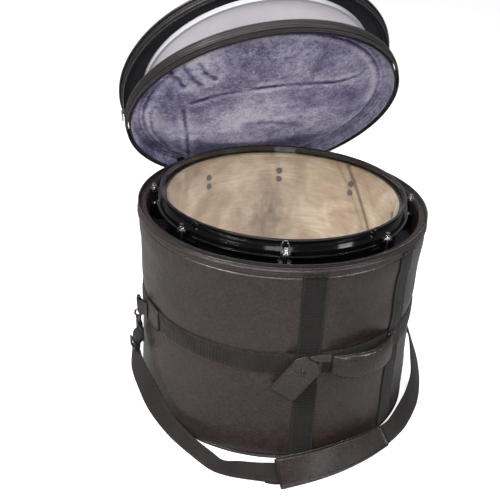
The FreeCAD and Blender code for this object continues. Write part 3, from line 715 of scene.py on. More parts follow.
def coated_mat():
    m = Mat("CoatedFilm")
    c = m.mix(m.ramp(m.noise(14.0, 5, 0.6), [(0.35, 0.0), (0.7, 1.0)]), srgb(208, 204, 201), srgb(224, 220, 217))
    # The emission is a painted glow: it lifts the spare head's film out of the shade under the pocket cover, though the
    # film is no lamp.
    m.put(m.b, "Emission Color", (0.94, 0.91, 0.89, 1))
    m.put(m.b, "Emission Strength", 0.24)
    m.set(color=c, rough=0.42, spec=0.4, normal=m.bump(m.noise(900.0, 3, 0.6), 0.0001, 0.5))
    return m.m


SEAMS = [(2.1001, 3.4438, 0.008, 0.034, 0.85), (2.2101, 3.6160, 0.001, 0.008, 0.6), (-1.9, -1.3, 0.001, 0.006, 0.4)]
PLUSH = plush_mat()
WOOD = wood_mat()
CLEAR = film_mat("ClearFilm", (0.99, 0.985, 0.97), 0.035, 0.12)
COATED = coated_mat()

# -------------------------------------------------------------------- CAD pieces
CAD_MATS = {
    "drum_shell": WOOD, "air_vent": CHROME, "batter_head": CLEAR, "batter_head_hoop": ALU, "resonant_head": CLEAR,
    "resonant_head_hoop": ALU, "top_hoop": HOOP, "bottom_hoop": HOOP, "tension_rods_top": CHROME, "tension_rods_bottom": CHROME,
    "rod_washers": STEEL, "lugs": LUGM, "lug_inserts": BRASS, "lug_screws": SCREW, "spare_head_hoop": SILVER, "spare_head_film": COATED,
    "d_ring_left": GUN, "d_ring_right": GUN, "snap_hook_left": NICKEL, "snap_hook_right": NICKEL, "hook_gate_left": NICKEL,
    "hook_gate_right": NICKEL, "strap_eyes": GUN, "strap_adjuster": GUN, "zip_slider_left": GUN, "zip_slider_right": GUN,
    "pocket_slider_left": GUN, "pocket_slider_right": GUN}
for nm, mt in CAD_MATS.items():
    o = NODES[nm]
    o.data.materials.clear()
    o.data.materials.append(mt)

# ------------------------------------------------------------- shape builders
def revolve_loop(sec, na, disp=None, place=None, az0=None, az1=None):
    """sec (m,2) closed loop of (radius, height). disp(az, r, z) -> (dr, dz)."""
    sec = np.asarray(sec, float)
    closed = az0 is None
    az = np.arange(na) * 360.0 / na + 180.0 if closed else np.linspace(az0, az1, na)
    A, R = np.meshgrid(az, sec[:, 0], indexing="ij")
    _, Z = np.meshgrid(az, sec[:, 1], indexing="ij")
    if disp is not None:
        dr, dz = disp(A, R, Z)
        R, Z = R + dr, Z + dz
    P = pol(A, R, Z)
    us = np.radians(az - az[0]) * sec[:, 0].mean()
    vs = np.r_[0, np.cumsum(np.linalg.norm(np.diff(sec, axis=0), axis=1))]
    p = part_grid(P, closed_u=closed, closed_v=True, uv=(us, vs), caps=not closed)
    return move(p, place) if place else p


def round_rect_loop(r0, r1, z0, z1, rad, nr=4, nf=6):
    out = []
    for (cx, cz, a0), (ex, ez) in zip(
            [(r1 - rad, z1 - rad, 90), (r1 - rad, z0 + rad, 0), (r0 + rad, z0 + rad, -90), (r0 + rad, z1 - rad, -180)],
            [(1, 0), (0, -1), (-1, 0), (0, 1)]):
        for k in range(nr + 1):
            a = math.radians(a0 - 90.0 * k / nr)
            out.append((cx + rad * math.cos(a), cz + rad * math.sin(a)))
    loop = np.array(out)
    n = nf * 4 + nr * 4
    return resample(loop, n, closed=True)


def revolve_poles(prof, na, disp=None, place=None):
    """prof runs from the axis underneath round the edge to the axis on top."""
    prof = np.asarray(prof, float)
    az = np.arange(na) * 360.0 / na
    A, R = np.meshgrid(az, prof[:, 0], indexing="ij")
    _, Z = np.meshgrid(az, prof[:, 1], indexing="ij")
    if disp is not None:
        dr, dz = disp(A, R, Z)
        k = smooth01(R / 6.0)
        dz = dz * k + (1 - k) * dz.mean(axis=0, keepdims=True)
        R, Z = R + dr * k, Z + dz
    p = part_poles(pol(A, R, Z))
    return move(p, place) if place else p


def disc_prof(r, z0, z1, e, n_low, n_high):
    lo = [(x, z0) for x in np.linspace(0, r - e, n_low)]
    a = np.linspace(-90, 90, 7)[1:-1]
    zc, hh = (z0 + z1) / 2, (z1 - z0) / 2
    ed = [(r - e + e * math.cos(math.radians(t)), zc + hh * math.sin(math.radians(t))) for t in a]
    hi = [(x, z1) for x in np.linspace(r - e, 0, n_high)]
    return lo + ed + hi


def mapped_sweep(S, section, fn, closed=False, uvs=None):
    sec = np.asarray(section, float)
    if sec.ndim == 2:
        sec = np.broadcast_to(sec, (len(S),) + sec.shape)
    SS = np.broadcast_to(np.asarray(S, float)[:, None], sec.shape[:2])
    P = fn(SS, sec[..., 0], sec[..., 1])
    vs = np.r_[0, np.cumsum(np.linalg.norm(np.diff(sec[0], axis=0), axis=1))]
    return part_grid(P, closed_u=closed, closed_v=True, uv=(np.asarray(uvs if uvs is not None else S, float), vs), caps=not closed)


def outline(corners, rad, n):
    """A polygon with rounded corners, resampled to n points."""
    C = np.asarray(corners, float)
    m = len(C)
    rad = np.broadcast_to(np.asarray(rad, float), (m,))
    out = []
    for i in range(m):
        p, a, b = C[i], unit(C[i - 1] - C[i]), unit(C[(i + 1) % m] - C[i])
        half = 0.5 * math.acos(np.clip((a * b).sum(), -1, 1))
        t = min(rad[i] / max(math.tan(half), 1e-6), 0.49 * np.linalg.norm(C[i - 1] - p), 0.49 * np.linalg.norm(C[(i + 1) % m] - p))
        p0, p1 = p + a * t, p + b * t
        for k in np.linspace(0, 1, 7):
            out.append((1 - k) ** 2 * p0 + 2 * k * (1 - k) * p + k * k * p1)
    return resample(np.array(out), n, closed=True)


def pad(out2, fn, top, bottom, rings=10, edge=0.12):
    """Closed pillow over a star-shaped outline. fn(u, v, h) -> points; top(s,u,v)
    and bottom(s,u,v) give heights at share s (0 middle, 1 edge)."""
    c = out2.mean(0)
    s = np.r_[np.linspace(0, 1 - edge, rings), 1 - edge * (1 - np.sin(np.linspace(0, math.pi / 2, 6)[1:]))]
    s = s[s <= 1.0]
    U = c[0] + (out2[:, 0][:, None] - c[0]) * s
    W = c[1] + (out2[:, 1][:, None] - c[1]) * s
    Sg = np.broadcast_to(s, U.shape)
    k = np.clip((Sg - (1 - edge)) / edge, 0, 1)
    rnd = np.sqrt(np.clip(1 - k * k, 0, 1))
    ht, hb = top(Sg, U, W), bottom(Sg, U, W)
    mid = (ht + hb) / 2
    Ht, Hb = mid + (ht - mid) * rnd, mid + (hb - mid) * rnd
    P1, P2 = fn(U, W, Ht), fn(U, W, Hb)
    P = np.concatenate([P1, P2[:, ::-1][:, 1:]], axis=1)
    return part_poles(P)


def inset_line(out2, share):
    c = out2.mean(0)
    return c + (out2 - c) * share


def belt_lift(z):
    """How far a strip lying on the wall is lifted where it crosses the belt."""
    return 1.75 * smooth01((z - 164.5) / 4.0) * smooth01((209.5 - z) / 4.0)


def weave(s, x, pitch=2.4, chev=9.5):
    return np.sin((s + 0.55 * np.abs((x + 50 * chev) % chev - chev / 2)) * 2 * math.pi / pitch)


# ------------------------------------------------------------------- bag pieces
def wall_layer(o_out, o_in, z0, z1, na, zs_out, nz_in, fine=True):
    zo = np.asarray(zs_out, float)
    zi = np.linspace(z1, z0, nz_in)
    az = np.arange(na) * 360.0 / na + 180.0
    A, Z = np.meshgrid(az, zo, indexing="ij")
    Po = on_wall(A, Z, o_out)
    A2, Z2 = np.meshgrid(az, zi, indexing="ij")
    Pi = on_wall(A2, Z2, o_in)
    t = abs(o_out - o_in)
    topc = []
    for k in (0.25, 0.5, 0.75):
        off = o_out + (o_in - o_out) * k
        topc.append(on_wall(az[:, None], np.full((na, 1), z1), off) + np.array([0, 0, 0.35 * min(t, 1.5) * math.sin(k * math.pi)]))
    P = np.concatenate([Po] + topc + [Pi], axis=1)
    us = np.radians(az - az[0]) * 246
    vs = np.r_[0, np.cumsum(np.linalg.norm(np.diff(P, axis=1), axis=2).mean(0))]
    return part_grid(P, True, True, uv=(us, vs))


zs = np.r_[np.arange(4.4, 14, 0.9), np.arange(14, 330, 2.3), np.arange(330, 355.8, 0.65), 355.8]
build("wall_skin", wall_layer(0.0, -1.4, 4.4, 355.8, 760, zs, 60), VINYL, "bag", ["bag_wall_vinyl"])
build("wall_padding", wall_layer(-1.7, -9.5, 5.0, 354.5, 200, np.linspace(5.0, 354.5, 50), 50), FOAM, "bag", ["bag_wall_foam"])


def lining_layer():
    az = np.arange(480) * 0.75 + 180.0
    z = np.linspace(7.2, 355.6, 120)
    A, Z = np.meshgrid(az, z, indexing="ij")
    a = np.radians(A)
    pnt = np.stack([np.cos(a) * 3, np.sin(a) * 3, Z / 70], -1)
    base = np.interp(Z, _zt, _rt)
    inner = base - 12.6 + 0.9 * fbm(pnt, 61, 3) + 0.35 * noise(np.stack([np.cos(a) * 60, np.sin(a) * 60, Z / 4.2], -1), 67)
    Z2 = Z[:, ::-1]
    outer = np.interp(Z2, _zt, _rt) + wall_disp(A, Z2) - 9.65
    outer = np.minimum(outer, np.interp(Z2, _zt, _rt) - 9.0)
    P = np.concatenate([pol(A, inner, Z), pol(A, outer, Z2)], axis=1)
    return part_grid(P, True, True)


build("wall_lining", lining_layer(), PLUSH, "bag", ["bag_wall_lining"])


def collar():
    az = np.arange(600) * 0.6 + 180.0
    z = np.r_[np.linspace(298, 354.5, 40), 355.6]
    A, Z = np.meshgrid(az, z, indexing="ij")
    a = np.radians(A)
    w = 0.8 * fbm(np.stack([np.cos(a) * 4, np.sin(a) * 4, Z / 60], -1), 71, 3) + 0.6 * noise(np.stack([np.cos(a) * 17, np.sin(a) * 17, Z / 90], -1), 73) * smooth01((355 - Z) / 14)
    R = np.interp(Z, _zt, _rt) - 14.1 + w * 0.8
    Rb = R[:, ::-1] + 0.8
    return part_grid(np.concatenate([pol(A, R, Z), pol(A, Rb, Z[:, ::-1])], axis=1), True, True)


build("collar_band", collar(), COLLAR, "bag", ["bag_wall_lining"])
rim_sec = resample(np.array([(234.0, 356.2), (240, 355.9), (247.4, 356.1), (248.4, 356.9), (248.2, 358.0), (247.5, 358.8), (244.5, 359.5),
                             (240.0, 359.7), (236.0, 359.0), (234.0, 357.8)]), 34, closed=True)
build("rim_roll", revolve_loop(rim_sec, 720, lambda A, R, Z: (0.25 * noise(np.stack([np.cos(np.radians(A)) * 9, np.sin(np.radians(A)) * 9, Z * 0], -1), 81),
      (0.5 * noise(np.stack([np.cos(np.radians(A)) * 34, np.sin(np.radians(A)) * 34, R / 9], -1), 83) + 0.3 * noise(np.stack([np.cos(np.radians(A)) * 6, np.sin(np.radians(A)) * 6, R / 30], -1), 84)) * (Z > 357.2))),
      VINYL, "bag", ["bag_rim_facing"])
build("base_skin", revolve_poles(disc_prof(247.0, 0.0, 1.6, 0.8, 24, 12), 240), VINYL, "bag", ["bag_base_panel"])
build("base_padding", revolve_poles(disc_prof(236.0, 1.7, 4.7, 1.4, 10, 10), 120), FOAM, "bag", ["bag_base_foam"])
build("base_lining", revolve_poles(disc_prof(236.0, 4.8, 6.7, 0.9, 10, 60), 240, lambda A, R, Z: (0 * R, -0.25 * (1 + noise(pol(A, R, 0 * R) / 6.0, 91)) * (Z > 6))),
      PLUSH, "bag", ["bag_base_lining"])


def ring_tube(R, r, z, na, nv, disp=0.0, place=None, seed=5, az0=None, az1=None):
    th = np.arange(nv) * 2 * math.pi / nv
    sec = np.stack([R + r * np.cos(th), z + r * np.sin(th)], -1)
    return revolve_loop(sec, na, lambda A, RR, Z: (disp * noise(np.stack([np.cos(np.radians(A)) * 11, np.sin(np.radians(A)) * 11, Z * 0], -1), seed), 0 * Z), place, az0, az1)


build("base_welt", join([ring_tube(249.8, 2.1, 2.15, 480, 12, 0.3),
                         ring_tube(250.4, 1.3, 4.9, 480, 8, 0.3, seed=6)]), WELT, "bag", ["bag_base_piping"])

# ------------------------------------------------------------------------ zips
TOOTH = ball(7, 5)


def zip_strip(zc, z0, z1, up, place=None, az0=None, az1=None, seed=1):
    """Tape between heights z0 and z1 with a row of coil teeth at zc."""
    n = int(2 * math.pi * COIL_R / 2.35)
    az = np.arange(n) * 360.0 / n
    o = pol(az, COIL_R, zc)
    rad = pol(az, 1.0, 0.0)
    tan = np.cross([0, 0, 1.0], rad)
    zz = np.broadcast_to([0, 0, 1.0], o.shape)
    lean = unit(tan * 0.28 + zz)
    teeth = instances(TOOTH, o, rad, tan, lean, np.array([1.45, 0.86, 1.22]))
    cord = ring_tube(COIL_R, 0.5, zc + (0.55 if up else -0.55), 360, 6)
    sec = round_rect_loop(COIL_R - 0.5, COIL_R + 0.5, z0, z1, 0.4, 2, 4)
    tape = revolve_loop(sec, 540, lambda A, R, Z: (0.3 * noise(np.stack([np.cos(np.radians(A)) * 13, np.sin(np.radians(A)) * 13, Z * 0.05], -1), seed), 0 * Z))
    hem = ring_tube(COIL_R + 0.75, 0.42, zc + (2.6 if up else -2.6), 480, 6)
    if place:
        teeth, cord, tape, hem = (move(q, place) for q in (teeth, cord, tape, hem))
    return join([teeth, cord]), join([tape, hem])


for nm, zc, z0, z1, up, place, body, node, slot in (
        ("bag_zip", BAG_COIL_Z, 357.9, BAG_COIL_Z - 0.7, False, None, "bag", "bag_zip", "zip"),
        ("lid_zip", LID_COIL_Z, LID_COIL_Z + 0.7, 374.2, True, in_lid, "lid", "lid_zip", "zip"),
        ("lid_pocket_zip", PC_LID_Z, 386.0, PC_LID_Z - 0.7, False, in_lid, "lid", "lid_pocket_zip", "zip"),
        ("cover_zip", PC_COVER_Z, PC_COVER_Z + 0.7, 397.2, True, in_cover, "pocket_cover", "cover_zip", "zip")):
    tt, tp = zip_strip(zc, z0, z1, up, place)
    build(nm + "_teeth", tt, TEETH, body, [node])
    build(nm + "_tape", tp, TAPE, body, [node])

# --------------------------------------------------------------------- webbing
def web_section(w, t, n):
    return rounded_section(w, t, n, r=min(t / 2, 0.8))


R0 = 244.6
n_b = 1040
az_b = np.arange(n_b) * 360.0 / n_b + 180.0
sec = web_section(38.0, 1.6, 44)
arc = np.radians(az_b - 180) * R0
face = sec[:, 1] > 0.5
SB = np.repeat(sec[None], n_b, 0).copy()
SB[:, :, 1] += face[None, :] * (0.5 * weave(arc[:, None], sec[None, :, 0], 5.8) + 0.3 * noise(np.stack([arc[:, None] / 6.5 + 0 * sec[None, :, 0], sec[None, :, 0] / 15 + 0 * arc[:, None], 0 * arc[:, None] * sec[None, :, 0]], -1), 107)) * (1 - (np.abs(sec[None, :, 0]) > 17.3))
SB[:, :, 0] += 0.5 * noise(np.stack([np.cos(np.radians(az_b)) * 6, np.sin(np.radians(az_b)) * 6, az_b * 0], -1), 101)[:, None]
build("belt", mapped_sweep(az_b, SB, lambda s, x, y: on_wall(s, 187 + x, y + 1.0), closed=True, uvs=arc), BELT, "bag", ["belt_webbing"])
ups = []
for a in (10.5, 51.0):
    z = np.r_[np.arange(8.0, 351.5, 1.25), 351.8]
    sec = web_section(37.6, 1.6, 42)
    S2 = np.repeat(sec[None], len(z), 0).copy()
    S2[:, :, 1] += (sec[:, 1] > 0.5)[None] * 0.5 * weave(z[:, None], sec[None, :, 0], 5.8) * (1 - (np.abs(sec[None, :, 0]) > 17.1))
    S2[:, :, 0] += 0.7 * noise(np.stack([z / 60 + a, 0 * z, 0 * z], -1), 103)[:, None]
    ups.append(mapped_sweep(z, S2, lambda s, x, y, a=a: on_wall(a + np.degrees(x / R0), s, y + 1.0 + belt_lift(s))))
build("uprights", join(ups), WEB_DARK, "bag", ["upright_webbing"])
seams = []
for a in (10.5, 51.0):
    z = np.linspace(9, 351, 260)
    for x in (-16.6, 16.6):
        aa = a + math.degrees(x / R0)
        seams.append(stitches(on_wall(aa, z, 1.85 + belt_lift(z)), pol(np.full_like(z, aa), 1.0, 0.0), 4.4, 3.1, 0.34))
azr = np.arange(800) * 0.45
for zz in (170.6, 203.4):
    seams.append(stitches(on_wall(azr, np.full_like(azr, zz), 1.9), pol(azr, 1.0, 0.0), 4.4, 3.1, 0.34, closed=True))
for zz in (339.6, 346.2, 353.6):
    seams.append(stitches(on_wall(azr, np.full_like(azr, zz), 0.0), pol(azr, 1.0, 0.0), 4.2, 3.1, 0.36, closed=True))
seams.append(stitches(on_wall(azr, np.full_like(azr, 10.0), 0.0), pol(azr, 1.0, 0.0), 4.2, 3.1, 0.34, closed=True))
build("seam_threads", join(seams), THREAD, "bag")

# --------------------------------------------------- ring patches, loops, tabs
patches, threads, pipes, loops = [], [], [], []
for a, sg, node in ((-69.0, 1, "left"), (111.0, -1, "right")):
    c0 = a + sg * 9.45
    o2 = outline([(-25.5, -23.2), (25.5, -23.2), (25.5, 23.2), (-25.5, 23.2)] if sg > 0 else [(-25.5, -23.2), (25.5, -23.2), (25.5, 23.2), (-25.5, 23.2)],
                 [2.0, 20, 20, 2.0] if sg > 0 else [20, 2.0, 2.0, 20], 120)
    fn = lambda u, v, h, c0=c0: on_wall(c0 + np.degrees(u / R0), 187 + v, h + belt_lift(187 + v))
    patches.append(pad(o2, fn, lambda s, u, v: 2.1 + 0.45 * (1 - s ** 4) + 0.2 * noise(np.stack([u / 7, v / 7, 0 * u], -1), 5), lambda s, u, v: 0.15 + 0 * u, 12, 0.09))
    q = inset_line(o2, 0.97)
    pipes.append(tube(fn(q[:, 0], q[:, 1], np.full(len(q), 2.2)), 1.7, 10, closed=True))
    q = inset_line(o2, 0.86)
    nrm = pol(c0 + np.degrees(q[:, 0] / R0), 1.0, 0.0)
    threads.append(stitches(fn(q[:, 0], q[:, 1], np.full(len(q), 2.35)), nrm, 4.0, 2.9, 0.36, closed=True))
    # leather turned round the straight side of the ring
    th = np.radians(np.linspace(65, 295, 15))
    path = [(21, -8.0), (13, -5.4)] + [(3.35 * math.cos(t), 3.35 * math.sin(t)) for t in th] + [(9, -9.4), (16, -10.6), (21, -11.0)]
    path = resample(catmull(np.array([(x, y, 0) for x, y in path]), 0)[:, :2], 70)
    tdir = np.array([math.cos(math.radians(a)), math.sin(math.radians(a)), 0]) * sg
    rdir = pol(a, 1.0, 0.0)
    cc = pol(a, RING_RAD, RING_Z)
    C = cc + path[:, :1] * tdir + path[:, 1:] * rdir
    tt = unit(np.gradient(C, axis=0))
    Y = np.cross(tt, [0, 0, 1.0])
    loops.append(sweep(C, np.broadcast_to([0, 0, 1.0], C.shape), Y, rounded_section(27.0, 1.4, 12)))
build("ring_patch_leather", join(patches), VINYL_HANDLE, "bag", ["ring_patches"])
build("ring_patch_piping", join(pipes), WELT, "bag", ["ring_patches"])
build("ring_patch_threads", join(threads), THREAD, "bag")
build("ring_loop_leather", join(loops), VINYL_HANDLE, "bag", ["ring_loops"])

tabs, tthreads = [], []
for a in (16.3, 47.9):
    o2 = outline([(-9.2, -18), (9.2, -18), (9.2, 18), (-9.2, 18)], 3.0, 80)
    fn = lambda u, v, h, a=a: on_wall(a + np.degrees(u / R0), 187 + v, h)
    tabs.append(pad(o2, fn, lambda s, u, v: 6.2 + 0.5 * (1 - s ** 3), lambda s, u, v: 3.5 + 0 * u, 8, 0.14))
    q = inset_line(o2, 0.8)
    tthreads.append(stitches(fn(q[:, 0], q[:, 1], np.full(len(q), 6.35)), pol(a + np.degrees(q[:, 0] / R0), 1.0, 0.0), 3.8, 2.7, 0.34, closed=True))
build("handle_tab_leather", join(tabs), VINYL_HANDLE, "bag", ["handle_tabs"])
build("handle_tab_threads", join(tthreads), THREAD, "bag")

# ---------------------------------------------------------------- carry handle
t = np.linspace(0, 1, 150)
C = pol(18.9 + 26.4 * t, 254.6 + 15.0 * np.sin(math.pi * t) ** 0.8, 188.0 + 0 * t)
tt = unit(np.gradient(C, axis=0))
Yh = unit(np.cross([0, 0, 1.0], tt))
if (Yh[75] @ pol(32.1, 1.0, 0.0)) < 0:
    Yh = -Yh
end = np.clip(np.minimum(t, 1 - t) / 0.05, 0, 1)
hh = (17 + 5 * np.minimum(1, 4 * np.minimum(t, 1 - t))) * (0.86 + 0.14 * np.sqrt(np.clip(1 - (1 - end) ** 2, 0, 1)))
T = (6.4 + 11.0 * smooth01(np.minimum(t, 1 - t) / 0.16)) * (0.35 + 0.65 * np.sqrt(np.clip(1 - (1 - end) ** 2, 0, 1)))
ph = np.linspace(0, 2 * math.pi, 65)[:-1]
cx, sy = np.cos(ph), np.sin(ph)
sh = np.sign(sy) * np.abs(sy) ** 0.62
S = np.stack([np.outer(hh, np.sign(cx) * np.abs(cx) ** 0.9), np.outer(T / 2, sh)], -1)
nn = np.stack([np.broadcast_to(t[:, None] * 9, S.shape[:2]), S[..., 0] / 11, S[..., 1] / 9], -1)
wr = 0.3 * fbm(nn, 211, 3) + 0.25 * (1 - np.abs(noise(nn * np.array([1.9, 0.35, 1]), 213))) ** 5 * -1
S[..., 1] += wr * np.abs(sh) * np.sign(sy) * 1.0
build("handle_wrap", sweep(C, np.broadcast_to([0, 0, 1.0], C.shape), Yh, S), VINYL_HANDLE, "carry_handle", ["carry_handle"])
hp, hs = [], []
for sg in (-1, 1):
    hp.append(tube(C + np.array([0, 0, 1.0]) * (sg * (hh - 0.2))[:, None], 1.35, 8))
    x = sg * (hh - 5.0)
    yy = T / 2 * (1 - (np.abs(x) / hh) ** 2) ** 0.31 + 0.15
    i = slice(6, -6)
    hs.append(stitches((C + np.array([0, 0, 1.0]) * x[:, None] + Yh * yy[:, None])[i], Yh[i], 3.9, 2.8, 0.38))
build("handle_piping", join(hp), WELT, "carry_handle", ["carry_handle"])
build("handle_threads", join(hs), THREAD, "carry_handle")
for nm, aa, bb in (("a", 15.6, 19.9), ("b", 48.6, 44.3)):
    tz = np.linspace(0, 1, 24)
    az = aa + (bb - aa) * tz
    rr = wall_r(az, np.full_like(az, 188.0)) + 7.4 + (256.2 - 245.0 - 7.4) * smooth01((tz - 0.3) / 0.7)
    C2 = pol(az, rr, 187.6)
    t2 = unit(np.gradient(C2, axis=0))
    Y2 = np.cross([0, 0, 1.0], t2)
    ob = build("handle_link_" + nm, sweep(C2, np.broadcast_to([0, 0, 1.0], C2.shape), Y2, web_section(29, 1.8, 26)), WEB_DARK, None)
    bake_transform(ob)

# ----------------------------------------------------------------- luggage tag
UT, WT = np.array([-0.545, 0, -0.838]), np.array([0.838, 0, -0.545])
TOP = np.array([50.5, 0, 206.5])


def tag_fn(l, s, h):
    bow = 0.5 * noise(np.stack([np.asarray(l) / 40.0, np.asarray(s) / 30.0, np.asarray(l) * 0], -1), 301)
    P = TOP + np.asarray(l)[..., None] * UT + np.asarray(s)[..., None] * WT
    P = P + np.stack([0 * bow, -(255.4 + np.asarray(h) + bow), 0 * bow], -1)
    return P


o2 = outline([(0, -13), (0, 13), (14, 22.5), (82, 22.5), (82, -22.5), (14, -22.5)], [3, 3, 7, 5, 5, 7], 160)
build("tag_body", pad(o2, tag_fn, lambda s, u, v: 3.6 + 0.5 * (1 - s ** 5) + 0.15 * noise(np.stack([u / 6, v / 6, 0 * u], -1), 303), lambda s, u, v: 0.0 * u, 16, 0.07),
      VINYL_TAG, "luggage_tag", ["luggage_tag"])
o3 = outline([(33, -19), (33, 19), (78.5, 19), (78.5, -19)], [2, 2, 4, 4], 120)
build("tag_front", pad(o3, tag_fn, lambda s, u, v: 5.0 + 0.3 * (1 - s ** 3), lambda s, u, v: 3.3 + 0 * u, 10, 0.06), VINYL_TAG, "luggage_tag", ["luggage_tag"])
build("tag_piping", tube(tag_fn(*inset_line(o2, 0.985).T, np.full(160, 2.2)), 1.25, 8, closed=True), WELT, "luggage_tag", ["luggage_tag"])
fr = np.array([0, -1.0, 0])
q, q3 = inset_line(o2, 0.92), inset_line(o3, 0.88)
build("tag_threads", join([stitches(tag_fn(q[:, 0], q[:, 1], np.full(160, 3.85)), fr, 3.6, 2.6, 0.36, closed=True),
                           stitches(tag_fn(q3[:, 0], q3[:, 1], np.full(120, 5.05)), fr, 3.6, 2.6, 0.34, closed=True)]), THREAD, "luggage_tag")
TA = [(45.0, -258.6, 213.5), (53.0, -259.6, 217.5), (66.0, -261.6, 221.5), (77.0, -262.9, 223.0)]
TB = [(52.5, -258.6, 206.8), (58.0, -259.6, 207.5), (68.5, -261.6, 208.8), (77.0, -262.9, 210.0)]


def strap_part(A, B, thick, step, rib=0.2, wob=0.0, seed=1, n_face=36, floor=None, bow=0.0, cut=(0.0, 1.0), shift=0.0):
    L = pair_resample(A, B, 10)[2]
    n = int(L / step)
    a, b, L = pair_resample(A, B, n)
    k0, k1 = int(cut[0] * n), max(int(cut[1] * n), 2)
    a, b = a[k0:k1], b[k0:k1]
    C = (a + b) / 2
    X = unit(b - a)
    w = np.linalg.norm(b - a, axis=1)
    t = unit(np.gradient(C, axis=0))
    Y = unit(np.cross(t, X))
    out = np.sign((Y * C * np.array([1, 1, 0.0])).sum(1).mean() + 1e-9)
    Y = Y * out
    s = np.linspace(0, L, n)[k0:k1]
    base = web_section(1.0, thick, n_face)
    S = np.zeros((len(C), len(base), 2))
    unit_sec = web_section(38.0, thick, n_face)
    S[..., 0] = unit_sec[None, :, 0] / 38.0 * w[:, None]
    S[..., 1] = unit_sec[None, :, 1]
    ribs = rib * weave(s[:, None], S[..., 0])
    S[..., 1] += np.where(unit_sec[None, :, 1] > thick * 0.3, ribs, 0) - np.where(unit_sec[None, :, 1] < -thick * 0.3, ribs, 0) * 0.6
    lift = wob * noise(np.stack([s[:, None] / 34.0 + 0 * S[..., 0], S[..., 0] / 40.0, 0 * S[..., 0]], -1), seed)
    S[..., 1] += lift + bow * (1 - (2 * S[..., 0] / w[:, None]) ** 2) + shift
    P = C[:, None] + X[:, None] * S[..., :1] + Y[:, None] * S[..., 1:]
    if floor is not None:
        P[..., 2] = np.maximum(P[..., 2], floor + 0.02 * (S[..., 1] + 2))
    vs = np.r_[0, np.cumsum(np.linalg.norm(np.diff(unit_sec, axis=0), axis=1))]
    return part_grid(P, False, True, uv=(s, vs), caps=True), (C, X, Y, w, s)


p, _ = strap_part(TA, TB, 2.0, 0.8, 0.0, 0.25, 5, 16)
build("tag_loop", p, VINYL_TAG, "luggage_tag", ["tag_strap"])
sc = tag_fn(24.0, 0.0, 4.0)
th = np.linspace(0, math.pi / 2, 7)
prof = np.array([(0, -0.3)] + [(4.2, -0.3), (4.3, 0.5)] + [(3.9 * math.cos(a), 0.9 + 1.4 * math.sin(a)) for a in th[:-1]] + [(0, 2.0)])
A_, R_ = np.meshgrid(np.arange(32) * 2 * math.pi / 32, prof[:, 0], indexing="ij")
_, H_ = np.meshgrid(np.arange(32), prof[:, 1], indexing="ij")
P = sc + R_[..., None] * (np.cos(A_)[..., None] * UT + np.sin(A_)[..., None] * WT) + H_[..., None] * fr
build("tag_snap", part_poles(P), GUN, "luggage_tag", ["tag_strap"])

# ------------------------------------------------------------------- straps
def reach(A, i, j, d):
    A = [np.array(q, float) for q in A]
    return A[i] + unit(A[i] - A[j]) * d


LA2, LB2 = list(LA) + [tuple(reach(LA, -1, -2, 16.0))], list(LB) + [tuple(reach(LB, -1, -2, 16.0))]
RA2, RB2 = [tuple(reach(RA, 0, 1, 16.0))] + list(RA), [tuple(reach(RB, 0, 1, 16.0))] + list(RB)
p, left = strap_part(LA2, LB2, 2.2, 0.75, 0.2, 1.1, 7, 40, floor=0.4, bow=0.6)
build("strap_left_web", p, WEB, "bag", ["strap_left"])
p, right = strap_part(RA2, RB2, 2.2, 0.75, 0.2, 1.1, 9, 40, floor=0.4, bow=0.6)
build("strap_right_web", p, WEB, "bag", ["strap_right"])
for nm, ll, ends in (("left", left, (3, -3)), ("right", right, (3, -3))):
    C, X, Y, w, s = ll
    rows = []
    for sg in (-1, 1):
        line = C + X * (sg * (w / 2 - 3.2))[:, None] + Y * 1.55
        rows.append(stitches(line[::3], Y[::3], 4.4, 3.0, 0.32))
    build("strap_threads_" + nm, join(rows), THREAD, "bag")
# loops of webbing round the eyes
for nm, a, sgn, LLA, LLB, k in (("left", -69.0, -1, LA, LB, 0), ("right", 111.0, 1, RA, RB, -1)):
    rad = pol(a, 1.0, 0.0)
    tr = np.array([math.cos(math.radians(a)), math.sin(math.radians(a)), 0]) * sgn
    hc = pol(a, RING_RAD, RING_Z) + tr * 7.0 + np.array([0, 0, -18.19])
    A0, B0 = np.array(LLA[k], float), np.array(LLB[k], float)
    k2 = 1 if k == 0 else -2
    A1, B1 = np.array(LLA[k2], float), np.array(LLB[k2], float)
    m0, m1 = (A0 + B0) / 2, (A1 + B1) / 2
    bar = hc + np.array([0, 0, -46.2])
    dn = unit(m1 - m0)
    th = np.radians(np.linspace(-8, 188, 13))
    outer = [m0 + dn * 26 + rad * 2.6, m0 + dn * 14 + rad * 2.6, m0 + rad * 1.4]
    over = [bar + rad * (3.9 * math.cos(x)) + np.array([0, 0, 3.3 * math.sin(x)]) for x in th]
    inner = [m0 - rad * 4.6 + dn * 3, m0 + dn * 14 - rad * 2.8, m0 + dn * 24 - rad * 2.6]
    Cc = resample(catmull(np.array(outer + over + inner), 0), 120)
    Xe = unit(B0 - A0)
    if Xe @ tr < 0:
        Xe = -Xe
    xw = smooth01(np.linspace(0, 1, 120) * 3) * smooth01(np.linspace(1, 0, 120) * 3)
    Xd = unit(Xe * (1 - xw)[:, None] + tr * xw[:, None])
    tcc = unit(np.gradient(Cc, axis=0))
    Xd = unit(Xd - (Xd * tcc).sum(1, keepdims=True) * tcc)
    Yd = np.cross(tcc, Xd)
    sec = web_section(35.5, 1.7, 34)
    SS = np.repeat(sec[None], 120, 0).copy()
    SS[..., 1] += np.where(np.abs(sec[None, :, 1]) > 0.5, 0.16 * weave(np.linspace(0, 100, 120)[:, None], sec[None, :, 0]), 0)
    build("strap_eye_loop_" + nm, sweep(Cc, Xd, Yd, SS), WEB, "bag", ["strap_" + nm])

